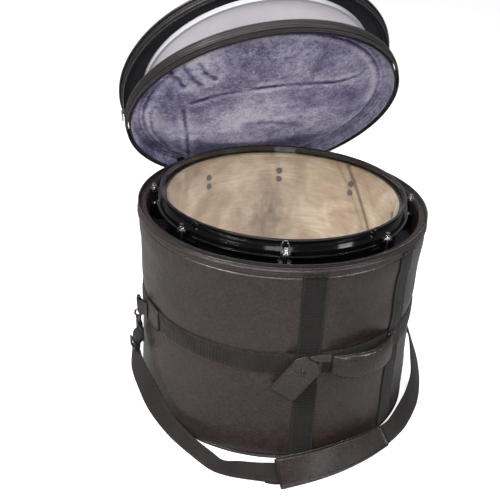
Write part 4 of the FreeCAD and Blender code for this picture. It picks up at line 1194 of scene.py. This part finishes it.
# -------------------------------------------------------------------- shoulder pad
n_p = 260
a_, b_, Lp = pair_resample(PA, PB, n_p)
Cp = (a_ + b_) / 2
Xp = unit(b_ - a_)
wp = np.linalg.norm(b_ - a_, axis=1)
tp_ = unit(np.gradient(Cp, axis=0))
Yp = unit(np.cross(tp_, Xp))
if Yp[:, 2].mean() < 0:
    Yp = -Yp
sp_ = np.linspace(0, Lp, n_p)


def pad_sim(nx, ns):
    """Two sewn sheets blown up like a stuffed pad: the puff height on a grid."""
    L, W = 10.0, 10.0 * 60.0 / 200.0
    P = []
    for side in (1, -1):
        for i in range(ns):
            for j in range(nx):
                P.append((L * i / (ns - 1), W * (j / (nx - 1) - 0.5), 0.02 * side))
    P = np.array(P)
    Q = []
    N2 = nx * ns
    for side in (0, 1):
        for i in range(ns - 1):
            for j in range(nx - 1):
                q = [side * N2 + i * nx + j, side * N2 + (i + 1) * nx + j, side * N2 + (i + 1) * nx + j + 1, side * N2 + i * nx + j + 1]
                Q.append(q if side == 1 else q[::-1])
    ring = [i * nx for i in range(ns)] + [(ns - 1) * nx + j for j in range(1, nx)] + [i * nx + nx - 1 for i in range(ns - 2, -1, -1)] + [j for j in range(nx - 2, 0, -1)]
    for k in range(len(ring)):
        a, b = ring[k], ring[(k + 1) % len(ring)]
        Q.append([a, b, b + N2, a + N2])
    me = bpy.data.meshes.new("sim")
    me.from_pydata([tuple(p) for p in P], [], [tuple(q) for q in Q])
    me.validate()
    ob = bpy.data.objects.new("sim", me)
    bpy.context.scene.collection.objects.link(ob)
    vg = ob.vertex_groups.new(name="pin")
    vg.add([v for k in ring for v in (k, k + N2)], 1.0, "REPLACE")
    m = ob.modifiers.new("c", "CLOTH")
    s = m.settings
    s.quality = 5
    s.mass = 0.3
    s.vertex_group_mass = "pin"
    s.use_pressure = True
    s.uniform_pressure_force = 9.0
    s.shrink_min = -0.05
    s.effector_weights.gravity = 0.0
    s.tension_stiffness = 12
    s.compression_stiffness = 12
    s.bending_stiffness = 0.35
    s.air_damping = 3.0
    m.point_cache.frame_start, m.point_cache.frame_end = 1, 40
    sc_ = bpy.context.scene
    for f in range(1, 36):
        sc_.frame_set(f)
    ev = ob.evaluated_get(bpy.context.evaluated_depsgraph_get())
    co = np.array([v.co for v in ev.data.vertices], float)
    sc_.frame_set(1)
    bpy.data.objects.remove(ob)
    return co[:N2, 2].reshape(ns, nx), co[N2:, 2].reshape(ns, nx)


def grid_sample(G, u, v):
    nu, nv = G.shape
    x, y = np.clip(u, 0, 1) * (nu - 1), np.clip(v, 0, 1) * (nv - 1)
    i, j = np.minimum(x.astype(int), nu - 2), np.minimum(y.astype(int), nv - 2)
    fx, fy = x - i, y - j
    return (G[i, j] * (1 - fx) * (1 - fy) + G[i + 1, j] * fx * (1 - fy) + G[i, j + 1] * (1 - fx) * fy + G[i + 1, j + 1] * fx * fy)


G1, _g = pad_sim(23, 71)
G1 = np.clip(G1, 0, None)
G1 = G1 / max(np.percentile(G1, 95), 1e-6)
nxp = 64
vv = np.linspace(0, 1, nxp)
puff = grid_sample(G1, *np.meshgrid(np.linspace(0, 1, n_p), vv, indexing="ij"))
uu = np.linspace(0, 1, n_p)
topz = 0.9 + 6.0 * np.clip(puff, 0, 1.2)
nz_ = np.stack(np.broadcast_arrays(sp_[:, None] / 16.0, vv[None] * 4, 0.0 * sp_[:, None]), -1)
topz = topz + 0.25 * fbm(nz_, 401, 3) * np.clip(puff, 0, 1) - 0.3 * np.clip(1 - np.abs(noise(nz_ * np.array([1.3, 0.5, 1]), 403)), 0, 1) ** 8 * np.clip(puff, 0, 1)
endk = np.sqrt(np.clip(1 - (1 - np.clip(np.minimum(uu, 1 - uu) / 0.02, 0, 1)) ** 2, 0, 1))[:, None]
topz = 0.3 + (topz - 0.3) * endk
xs_ = (vv[None] - 0.5) * (wp[:, None] - 1.0)
Ptop = Cp[:, None] + Xp[:, None] * xs_[..., None] + Yp[:, None] * topz[..., None]
botz = -1.0 - 2.4 * np.clip(puff, 0, 1)
botz = -0.3 + (botz + 0.3) * endk
Pbot = Cp[:, None] + Xp[:, None] * xs_[..., None] + Yp[:, None] * botz[..., None]
Pbot[..., 2] = np.maximum(Pbot[..., 2], 0.5)
Ptop[..., 2] = np.maximum(Ptop[..., 2], 2.0)
p = part_grid(np.concatenate([Ptop, Pbot[:, ::-1]], axis=1), False, True, caps=True)
build("pad_body", p, VINYL_PAD, "bag", ["strap_pad"])
rim_pts = np.concatenate([Cp + Xp * (-(wp - 1.0) / 2)[:, None], (Cp + Xp * ((wp - 1.0) / 2)[:, None])[::-1]])
rim_pts = rim_pts + np.concatenate([Yp, Yp[::-1]]) * 0.2
rim_pts[:, 2] = np.maximum(rim_pts[:, 2], 2.0)
build("pad_piping", tube(resample(rim_pts, 520, True), 1.9, 10, closed=True), WELT, "bag", ["strap_pad"])
rows = []
for k in (5, -6):
    rows.append(stitches(Ptop[4:-4, k], Yp[4:-4], 4.2, 3.0, 0.4))
for k in (5, -6):
    rows.append(stitches(Ptop[k, 5:-5], np.broadcast_to(Yp[k], Ptop[k, 5:-5].shape), 4.2, 3.0, 0.4))
build("pad_threads", join(rows), THREAD, "bag")
# webbing that runs behind the pad
qa = [tuple(np.array(LA[-2]) * 0.5 + np.array(LA[-1]) * 0.5)] + [tuple(np.array(x) * 0.8 + np.array(y) * 0.2) for x, y in zip(PA, PB)] + [tuple(np.array(RA[0]) * 0.5 + np.array(RA[1]) * 0.5)]
qb = [tuple(np.array(LB[-2]) * 0.5 + np.array(LB[-1]) * 0.5)] + [tuple(np.array(x) * 0.2 + np.array(y) * 0.8) for x, y in zip(PA, PB)] + [tuple(np.array(RB[0]) * 0.5 + np.array(RB[1]) * 0.5)]
p, _ = strap_part(qa, qb, 1.8, 1.0, 0.15, 0.0, 11, 30, floor=0.3, shift=-3.6 if Yp[:, 2].mean() > 0 else 3.6)
build("pad_underlay", p, WEB_DARK, "bag", ["strap_pad"])

# ---------------------------------------------------------------- hinge leather


def hinge_pad(x_half, z0, z1, rho_out, rho_in, place=None):
    o2 = outline([(-x_half, z0), (x_half, z0), (x_half, z1), (-x_half, z1)], 4.0, 160)
    inner = lambda u, v: np.sqrt(np.clip(rho_in(u, v) ** 2 - u ** 2, 1, None))

    def fn(u, v, h):
        r = inner(u, v) * (1 - h) + rho_out * h
        return HV * r[..., None] + AXV * np.asarray(u)[..., None] + np.array([0, 0, 1.0]) * np.asarray(v)[..., None]
    p = pad(o2, fn, lambda s, u, v: 0.98 + 0.02 * noise(np.stack([u / 9, v / 9, 0 * u], -1), 501), lambda s, u, v: 0.0 * u, 12, 0.1)
    q = inset_line(o2, 0.9)
    line = fn(q[:, 0], q[:, 1], np.full(len(q), 1.0))
    th_ = stitches(line, np.broadcast_to(HV, line.shape), 4.4, 3.2, 0.38, closed=True)
    if place:
        p, th_ = move(p, place), move(th_, place)
    return p, th_


az_of = lambda u: HINGE_AZ + 0 * u
p, th_ = hinge_pad(60.0, 285.7, 309.4, 254.0, lambda u, v: wall_r(HINGE_AZ + np.degrees(np.asarray(u) / 250.0), v, 0.1))
build("hinge_anchor_leather", p, VINYL, "bag", ["hinge_anchor"])
build("hinge_anchor_threads", th_, THREAD, "bag")
EZ = ROOT_Z + FLAP_LEN
p, th_ = hinge_pad(60.0, EZ + 2.6, EZ + 22.6, 254.0, lambda u, v: 250.4 + 0 * np.asarray(u), in_lid)
build("lid_hinge_leather", p, VINYL_LID, "lid", ["lid_hinge_pad"])
build("lid_hinge_threads", th_, THREAD, "lid")
FP = HV * ROOT_R + np.array([0, 0, ROOT_Z])
o2 = outline([(-60, 1.6), (60, 1.6), (60, 49.7), (-60, 49.7)], 2.5, 200)


def flap_fn(u, v, h):
    P = HV * (ROOT_R + np.asarray(h)[..., None]) + AXV * np.asarray(u)[..., None] + np.array([0, 0, 1.0]) * (ROOT_Z + np.asarray(v)[..., None])
    return rot_about(P, FP, AXV, FLAP_FOLD)


p = pad(o2, flap_fn, lambda s, u, v: 1.0 + 0.25 * (1 - s ** 2) + 0.25 * noise(np.stack([u / 11, v / 9, 0 * u], -1), 503), lambda s, u, v: -1.0 - 0.2 * (1 - s ** 2) + 0 * u, 14, 0.06)
build("hinge_flap_leather", p, VINYL, "hinge_flap", ["hinge_flap"])
q = inset_line(o2, 0.93)
ln = flap_fn(q[:, 0], q[:, 1], np.full(len(q), 1.05))
nr_ = rot_about(np.broadcast_to(HV, ln.shape), np.zeros(3), AXV, FLAP_FOLD)
build("hinge_flap_threads", stitches(ln, nr_, 4.4, 3.2, 0.36, closed=True), THREAD, "hinge_flap")
# thin strips that carry the leather round the two folds
xs = np.linspace(-58, 58, 60)


def fold_strip(path, name):
    path = resample(catmull(np.array(path), 0), 40)
    C_ = path
    t_ = unit(np.gradient(C_, axis=0))
    Y_ = np.cross(t_, AXV)
    sec_ = rounded_section(114.0, 0.9, 40)
    ob = build(name, sweep(C_, np.broadcast_to(AXV, C_.shape), Y_, sec_), VINYL, None)
    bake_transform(ob)


down = rot_about(np.array([0, 0, 1.0]), np.zeros(3), AXV, FLAP_FOLD)
nout = rot_about(HV, np.zeros(3), AXV, FLAP_FOLD)
pA = HV * 254.5 + np.array([0, 0, 299.0])
pB = HV * 254.6 + np.array([0, 0, 307.0])
pC = FP + HV * 0.9 + np.array([0, 0, -0.4])
pD = FP + down * 5.0 + nout * 1.9
pE = FP + down * 14.0 + nout * 1.75
fold_strip([pA, pB, pC, pD, pE], "hinge_fold_lower")
lz = in_lid(np.array([0, 0, 1.0])) - in_lid(np.zeros(3))
lh = in_lid(HV) - in_lid(np.zeros(3))
EP = in_lid(E1)
pA = EP - down * 14.0 + nout * 1.75
pB = EP - down * 5.0 + nout * 1.9
pC = EP + nout * 0.8 + lh * 0.6
pD = EP + lz * 5.0 + lh * 0.3
pE = EP + lz * 12.0 + lh * 0.15
fold_strip([pA, pB, pC, pD, pE], "hinge_fold_upper")

# ------------------------------------------------------------------- lid skirt
sec = resample(np.array([(246.0, 374.2), (248.0, 374.2), (248.9, 375.0), (249.0, 376.6), (248.5, 377.3), (249.6, 378.6), (249.9, 380.2), (249.6, 382.0),
                         (248.5, 382.9), (249.0, 383.6), (248.9, 385.2), (248.0, 385.9), (246.0, 385.9), (245.7, 385.2), (245.7, 375.0)]), 56, closed=True)


def lid_wob(seed, amp):
    return lambda A, R, Z: (amp * fbm(np.stack([np.cos(np.radians(A)) * 5, np.sin(np.radians(A)) * 5, Z / 9.0], -1), seed, 3)
                            + 0.5 * amp * noise(np.stack([np.cos(np.radians(A)) * 40, np.sin(np.radians(A)) * 40, Z * 0], -1), seed + 1), 0 * Z)


build("lid_skirt_skin", revolve_loop(sec, 720, lid_wob(601, 0.35), in_lid), VINYL_LID, "lid", ["lid_skirt"])
rows = []
for zz in (375.7, 384.5):
    o = pol(azr, 249.05, zz)
    rows.append(move(stitches(o, pol(azr, 1.0, 0.0), 4.2, 3.1, 0.36, closed=True), in_lid))
build("lid_skirt_threads", join(rows), THREAD, "lid")
build("lid_binding", join([ring_tube(241.4, 1.9, 370.1, 540, 10, 0.35, in_lid, 7), ring_tube(246.6, 1.3, 386.3, 480, 8, 0.2, in_lid, 8)]), WELT, "lid", ["lid_lining"])
dvp = disc_prof(243.0, 391.7, 393.3, 0.8, 30, 120)


def dv_disp(A, R, Z):
    P = pol(A, R, 0 * R)
    up = (Z > 392.5)
    return 0 * R, up * (0.55 * (fbm(P / 5.0, 611, 3)) * smooth01(R / 60.0) - 0.25)


# ------------------------------------------------------------------- lid lining


def lining_sim(nr, na):
    """The lining hangs in the open lid, pinned at its rim and held by a seam ring."""
    rr = np.linspace(0, 238.0, nr + 1)[1:]
    az = np.arange(na) * 360.0 / na
    P = [np.array([0, 0, 0.0])]
    V = [np.array([[0, 0, 0.0]])]
    for r in rr:
        ang = az
        z = 1.4 * np.sin(np.radians(ang) * 5 + r / 23.0) * math.sin(math.pi * r / 238.0) + 1.1 * np.sin(np.radians(ang) * 9 - r / 17.0) * math.sin(math.pi * r / 238.0)
        V.append(np.stack([r * np.sin(np.radians(az)), -r * np.cos(np.radians(az)), z], -1))
    V = np.vstack(V) / 100.0
    F = []
    for j in range(na):
        F.append((0, 1 + (j + 1) % na, 1 + j))
    for i in range(nr - 1):
        for j in range(na):
            a, b = 1 + i * na + j, 1 + i * na + (j + 1) % na
            F.append((a, b, b + na, a + na))
    me = bpy.data.meshes.new("sim2")
    me.from_pydata([tuple(v) for v in V], [], F)
    ob = bpy.data.objects.new("sim2", me)
    bpy.context.scene.collection.objects.link(ob)
    vg = ob.vertex_groups.new(name="pin")
    rad = np.linalg.norm(V[:, :2], axis=1) * 100
    vg.add([int(i) for i in np.where(rad > 236)[0]], 1.0, "REPLACE")
    ringi = [int(i) for i in np.where((np.abs(rad - 216) < 3.2))[0]]
    vg.add(ringi, 0.85, "REPLACE")
    m = ob.modifiers.new("c", "CLOTH")
    s = m.settings
    s.quality = 6
    s.mass = 0.25
    s.vertex_group_mass = "pin"
    s.shrink_min = -0.035
    s.tension_stiffness = 18
    s.compression_stiffness = 14
    s.shear_stiffness = 8
    s.bending_stiffness = 0.6
    s.air_damping = 2.0
    m.point_cache.frame_start, m.point_cache.frame_end = 1, 60
    sc_ = bpy.context.scene
    g0 = tuple(sc_.gravity)
    gv = rot_about(np.array([0, 0, -9.81]), np.zeros(3), AXV, -LID_OPEN)
    sc_.gravity = tuple(gv)
    for f in range(1, 46):
        sc_.frame_set(f)
    ev = ob.evaluated_get(bpy.context.evaluated_depsgraph_get())
    co = np.array([v.co for v in ev.data.vertices], float) * 100
    sc_.frame_set(1)
    sc_.gravity = g0
    bpy.data.objects.remove(ob)
    Z = np.vstack([np.repeat(co[:1, 2], na)[None], co[1:, 2].reshape(nr, na)])
    return Z


NR_S, NA_S = 44, 132
LZ = lining_sim(NR_S, NA_S)
LZ = LZ - LZ[-1].mean()


def sag_at(A, R):
    u = np.clip(R / 238.0, 0, 1)
    G = np.hstack([LZ, LZ[:, :1]])
    return grid_sample(G, u, (np.mod(A, 360.0)) / 360.0)


def poly_dist(P, line):
    line = resample(catmull(np.array([(x, y, 0.0) for x, y in line]), 0)[:, :2], 60)
    d = np.full(P.shape[:-1], 1e9)
    for a, b in zip(line[:-1], line[1:]):
        ab = b - a
        t_ = np.clip(((P - a) @ ab) / (ab @ ab), 0, 1)
        d = np.minimum(d, np.linalg.norm(P - (a + t_[..., None] * ab), axis=-1))
    return d


FOLDS = [([(-120, -78), (-66, -87), (-15, -84), (37, -77), (89, -64), (139, -52), (190, -62)], 4.6, 8.0),
         ([(-138, -60), (-143, -10), (-147, 33), (-155, 90), (-160, 140)], 3.2, 6.0),
         ([(-150, -158), (-120, -150), (-85, -158)], 2.6, 6.0),
         ([(-142, -176), (-134, -154), (-124, -134)], 4.6, 9.0), ([(-116, -174), (-108, -152), (-97, -130)], 5.0, 9.0), ([(-90, -178), (-82, -158), (-72, -138)], 4.2, 8.0),
         ([(-195, -60), (-205, 10), (-190, 90)], 3.0, 7.0), ([(-40, 34), (20, 52), (70, 88)], 1.8, 12.0)]
SEAM_R = 216.0
_gx = np.linspace(-245, 245, 246)
_GX, _GY = np.meshgrid(_gx, _gx, indexing="ij")
_g2 = np.stack([_GX, _GY], -1)
_FH = np.zeros(_GX.shape)
_PAINTED_FOLD_SHADING = np.zeros(_GX.shape)
for ln_, amp, wd in FOLDS:
    dd = poly_dist(_g2, ln_)
    _FH += amp * (0.75 * np.exp(-((dd - 1.25 * wd) / (0.8 * wd)) ** 2) - 1.1 * np.exp(-(dd / (0.5 * wd)) ** 2))
    # Painted shade along each crease line and a painted highlight on its flanks, for the plush colour.
    _PAINTED_FOLD_SHADING += min(amp / 3.6, 1.25) * (0.5 * np.exp(-((dd - 1.3 * wd) / (0.8 * wd)) ** 2) - 1.15 * np.exp(-(dd / (0.48 * wd)) ** 2))


def under_z(A, R):
    """Height of the lining's visible face, closed-lid frame, without the pile."""
    P = pol(A, R, 0 * R)
    fold = grid_sample(_FH, (P[..., 0] + 245) / 490, (P[..., 1] + 245) / 490)
    sag = sag_at(A, R)
    d = np.maximum(-sag, 0) * 1.0 + np.minimum(-sag, 0) * 0.3
    d = d + fold + 1.0 * fbm(P / 42.0, 621, 3) + 0.9 * (R < SEAM_R)
    seam = bell(R, SEAM_R + 3 * noise(np.stack([np.cos(np.radians(A)) * 3, np.sin(np.radians(A)) * 3, 0 * A], -1), 5), 3.0)
    lim = 2.4 + 8.0 * smooth01((200 - R) / 18) + 4.0 * smooth01((R - 216) / 9)
    d = lim * np.tanh(np.maximum(d, 0) / lim) + np.minimum(d, 0) * 0.5
    d = d - 2.0 * seam
    d = d + 0.4 * seam * 0
    return 388.6 - d


def pile(A, R):
    P = pol(A, R, 0 * R)
    clump = fbm(P / 9.0, 631, 3)
    tuft = noise(P / 2.6 + 3, 637)
    return 0.55 * np.abs(clump) + 0.28 * tuft


edge_r = np.array([238.3, 239.2, 239.6, 239.9, 240.3, 241.2, 242.4, 243.0, 243.1, 243.1])
prof = [(r, 388.5) for r in np.linspace(0, 236.5, 250)] + [(238.2, 387.2), (238.8, 384.5), (238.8, 380.0), (238.9, 376.0), (238.9, 372.2), (239.3, 370.2), (240.4, 369.5),
        (242.0, 369.9), (243.0, 371.6), (243.1, 378.0), (243.1, 386.0), (243.1, 391.0), (242.6, 391.4)] + [(r, 391.5) for r in np.linspace(240, 0, 16)]


def lin_disp(A, R, Z):
    low = (np.abs(Z - 388.5) < 0.01) & (R < 237)
    k = smooth01((237.5 - R) / 8.0)
    z_new = under_z(A, R) - pile(A, R) * 1.0
    dz = np.where(low, (z_new - 388.5) * k, 0.0)
    side = (Z < 388.4) & (Z > 372) & (R < 240)
    dr = np.where(side, -0.5 * np.abs(fbm(np.stack([np.cos(np.radians(A)) * 22, np.sin(np.radians(A)) * 22, Z / 6], -1), 641, 3)), 0.0)
    return dr, dz


_RR = np.hypot(_GX, _GY)
_P3 = np.stack([_GX, _GY, 0 * _GX], -1)
# A broad random tone, plus painted shade on and just outside the seam ring and a painted highlight just inside it.
_PAINTED_FOLD_SHADING = np.clip(_PAINTED_FOLD_SHADING, -1.3, 0.7) * (0.62 + 0.75 * fbm(_P3 / 24.0, 667, 2)) + 0.6 * fbm(_P3 / 75.0, 661, 3) - 0.75 * bell(_RR, SEAM_R, 2.4) - 0.55 * bell(_RR, SEAM_R + 8.0, 1.8) + 0.35 * bell(_RR, SEAM_R - 8.0, 5.0)
_B = in_lid(np.array([[0.0, 0, 0], [1, 0, 0], [0, 1, 0], [0, 0, 1]]))


def shade_folds(ob):
    """Painted shade in the creases and a painted highlight on their flanks, stored on the mesh points."""
    me = ob.data
    co = np.empty(len(me.vertices) * 3)
    me.vertices.foreach_get("co", co)
    q = (co.reshape(-1, 3) * 1000.0 - _B[0]) @ (_B[1:] - _B[0]).T
    v = grid_sample(_PAINTED_FOLD_SHADING, (q[:, 0] + 245) / 490, (q[:, 1] + 245) / 490)
    v = np.where(q[:, 2] > 391.0, 0.0, v)
    at = me.attributes.new("fold", "FLOAT", "POINT")
    at.data.foreach_set("value", v.astype(np.float32))


shade_folds(build("lid_plush", revolve_poles(prof, 640, lin_disp, in_lid), PLUSH, "lid", ["lid_lining"]))
build("lid_divider_cloth", revolve_poles(dvp, 360, dv_disp, in_lid), PLUSH, "lid", ["lid_divider"])

# fibres of the pile: little closed spikes
SPIKE = (np.array([[-0.5, -0.29, 0], [0.5, -0.29, 0], [0, 0.58, 0], [0, 0, 1.0]]), np.zeros((0, 4), int),
         np.array([[0, 2, 1], [0, 1, 3], [1, 2, 3], [2, 0, 3]]), np.zeros((0, 4, 2)), np.zeros((4, 3, 2)))
n_f = 80000
rf = 237.0 * np.sqrt(RNG.random(n_f))
af = RNG.random(n_f) * 360.0
basez = under_z(af, rf) - pile(af, rf) * smooth01((237.5 - rf) / 8.0)
basez = np.where(rf > 229.5, 388.5 + (basez - 388.5) * smooth01((237.5 - rf) / 8.0), basez)
o = pol(af, rf, basez + 0.35)
flow = np.stack([noise(o / 38.0, 651), noise(o / 38.0 + 9, 653), 0 * rf], -1) * 1.6 + 0.7 * (RNG.random((n_f, 3)) - 0.5)
dirn = unit(np.array([0, 0, -0.75]) + flow * np.array([1, 1, 0.0]))
ref = unit(np.cross(dirn, RNG.normal(size=(n_f, 3))))
yy_ = np.cross(dirn, ref)
ln_f = 1.7 + 1.3 * RNG.random(n_f)
wd_f = 0.42 + 0.25 * RNG.random(n_f)
# short pile where the shut lid meets the drum's hoop
room = np.where(rf > 195, 0.62, 1.0) * np.where((rf > 192) & (rf < 226), 0.3, 1.0)
shade_folds(build("lid_pile", move(instances(SPIKE, o, ref, yy_, dirn, np.stack([wd_f, wd_f, ln_f * room], -1)), in_lid), PLUSH, "lid", ["lid_lining"]))
n_e = 9000
ae = RNG.random(n_e) * 360.0
re_ = 232.0 + 10.5 * RNG.random(n_e)
o = pol(ae, re_, 393.2 + 0 * ae)
dirn = unit(pol(ae, 0.5, 0.6 + 0 * ae) + 0.7 * RNG.normal(size=(n_e, 3)) * np.array([1, 1, 0.3]))
dirn[:, 2] = np.abs(dirn[:, 2])
ref = unit(np.cross(dirn, RNG.normal(size=(n_e, 3))))
build("divider_pile", move(instances(SPIKE, o, ref, np.cross(dirn, ref), dirn, np.stack([0.5 + 0 * ae, 0.5 + 0 * ae, 0.5 + 0.8 * RNG.random(n_e)], -1)), in_lid),
      PLUSH, "lid", ["lid_divider"])

# ----------------------------------------------------------------- pocket cover
prof = [(r, 411.05 - 3.7 * (r / 245.7) ** 1.0) for r in np.linspace(0, 245.0, 30)] + [(245.7, 406.6), (245.7, 402), (245.7, 397.6), (246.4, 397.2), (248.4, 397.2),
        (249.1, 397.9), (249.4, 400), (248.8, 402.0), (249.5, 404.0), (249.4, 406.5), (249.1, 408.4), (247.8, 409.2)] + [(r, 413.0 - 4.0 * (r / 249.2)) for r in np.linspace(246, 0, 130)]


def cov_disp(A, R, Z):
    P = pol(A, R, 0 * R)
    top = smooth01((Z - (411.9 - 4.0 * R / 249.2)) / 0.6)
    k = smooth01((246 - R) / 16)
    wr_ = 1.3 * fbm(P / 120.0, 701, 2) + 0.22 * fbm(P / 34.0, 703, 2)
    seam_ = -0.9 * bell(R, 232, 1.8) + 0.4 * bell(R, 236.5, 2.5)
    return 0 * R, top * (k * np.maximum(wr_, -1.0) + seam_ * (R > 100))


build("cover_skin", revolve_poles(prof, 480, cov_disp, in_cover), VINYL_LID, "pocket_cover", ["cover_shell"])
o = pol(azr, 228.0, 409.55)
zst = 413.0 - 4.0 * (228.0 / 249.2)
P_ = pol(azr, 228.0, 0 * azr)
wr_ = 1.3 * fbm(P_ / 120.0, 701, 2) + 0.22 * fbm(P_ / 34.0, 703, 2)
o = pol(azr, 228.0, zst + np.maximum(wr_, -1.0))
build("cover_threads", join([move(stitches(o, np.array([0, 0, 1.0]), 4.4, 3.2, 0.38, closed=True), in_cover),
                             move(stitches(pol(azr, 249.45, 399.2), pol(azr, 1.0, 0.0), 4.2, 3.1, 0.36, closed=True), in_cover)]), THREAD, "pocket_cover")
prof = [(r, 408.0 - 2.4 * r / 241.5) for r in np.linspace(0, 238, 90)] + [(241.0, 404.8), (241.4, 402.5), (241.5, 399.0), (242.2, 398.1), (244.6, 398.1), (245.3, 399.0),
        (245.4, 403.0), (245.2, 406.4)] + [(r, 410.6 - 3.6 * r / 245.4) for r in np.linspace(240, 0, 12)]
build("cover_inside", revolve_poles(prof, 300, lambda A, R, Z: (0 * R, np.where((Z < 408.3 - 2.3 * R / 241.5 + 0.1) & (R < 238.5), 0.5 * fbm(pol(A, R, 0 * R) / 30.0, 711, 3) * smooth01((238 - R) / 15), 0.0)), in_cover),
      DARK_LINING, "pocket_cover", ["cover_lining"])
build("cover_welt", join([ring_tube(250.7, 2.0, 408.0, 540, 10, 0.35, in_cover, 9)]), WELT, "pocket_cover", ["cover_piping"])

# ------------------------------------------------------------------ studio
scn = bpy.context.scene
floor_mat = Mat("Floor")
floor_mat.set(color=(0.88, 0.88, 0.88), rough=0.9, spec=0.1)
flp = floor_mat.n("ShaderNodeLightPath")
floor_mat.b.inputs["Emission Color"].default_value = (1, 1, 1, 1)
floor_mat.t.links.new(floor_mat.math("MULTIPLY", flp.outputs["Is Camera Ray"], 0.72), floor_mat.b.inputs["Emission Strength"])
bpy.ops.mesh.primitive_plane_add(size=40, location=(0, 6, 0))
fl = bpy.context.object
fl.name = "floor"
fl.data.materials.append(floor_mat.m)
fcol = floor_mat.math("MULTIPLY_ADD", flp.outputs["Is Camera Ray"], 0.5, 0.38)
floor_mat.t.links.new(fcol, floor_mat.b.inputs["Base Color"])
w = bpy.data.worlds.new("Studio")
scn.world = w
w.use_nodes = True
nt = w.node_tree
nt.nodes.clear()
wo = nt.nodes.new("ShaderNodeOutputWorld")
lp = nt.nodes.new("ShaderNodeLightPath")
b1 = nt.nodes.new("ShaderNodeBackground")
b2 = nt.nodes.new("ShaderNodeBackground")
b1.inputs[0].default_value = (0.98, 0.985, 1.0, 1)
b1.inputs[1].default_value = 0.27
b2.inputs[0].default_value = (1, 1, 1, 1)
b2.inputs[1].default_value = 1.0
mx = nt.nodes.new("ShaderNodeMixShader")
nt.links.new(lp.outputs["Is Camera Ray"], mx.inputs[0])
nt.links.new(b1.outputs[0], mx.inputs[1])
nt.links.new(b2.outputs[0], mx.inputs[2])
nt.links.new(mx.outputs[0], wo.inputs[0])


def area(name, loc, target, size, energy, color=(1, 1, 1), size_y=None):
    l = bpy.data.lights.new(name, "AREA")
    l.energy = energy
    l.color = color
    l.size = size
    if size_y:
        l.shape = "RECTANGLE"
        l.size_y = size_y
    o = bpy.data.objects.new(name, l)
    scn.collection.objects.link(o)
    o.location = loc
    o.rotation_euler = (Vector(target) - Vector(loc)).to_track_quat("-Z", "Y").to_euler()
    return o


area("Key", (-1.5, -1.3, 1.9), (0, 0, 0.3), 0.55, 56, (1.0, 0.99, 0.98))
area("Fill", (1.9, -1.2, 1.7), (0, 0, 0.3), 0.55, 24, (0.98, 0.99, 1.0))
area("Front", (-0.1, -1.9, 1.5), (-0.05, 0.1, 0.5), 0.8, 18)
area("Top", (0.1, -0.2, 2.4), (0, 0, 0.3), 1.4, 18)
pl = bpy.data.lights.new("InsideGlow", "POINT")
pl.energy = 1.5
pl.shadow_soft_size = 0.1
pl.color = (0.97, 0.98, 1.0)
plo = bpy.data.objects.new("InsideGlow", pl)
scn.collection.objects.link(plo)
plo.location = (0, -0.05, 0.2)
plo.visible_camera = False
plo.visible_glossy = False
cam = bpy.data.cameras.new("Camera")
cam.lens = 49.09
cam.sensor_width = 36.0
cam.clip_start = 0.02
co = bpy.data.objects.new("Camera", cam)
scn.collection.objects.link(co)
from mathutils import Matrix
Xc = Vector((0.99902525, 0.02043123, 0.03912957))
Yc = Vector((-0.04414248, 0.46239627, 0.8855739))
Zc = Xc.cross(Yc)
M = Matrix((Xc, Yc, Zc)).transposed().to_4x4()
M.translation = Vector((-0.052, -1.09537, 0.82824))
co.matrix_world = M
scn.camera = co
scn.view_settings.view_transform = "Standard"
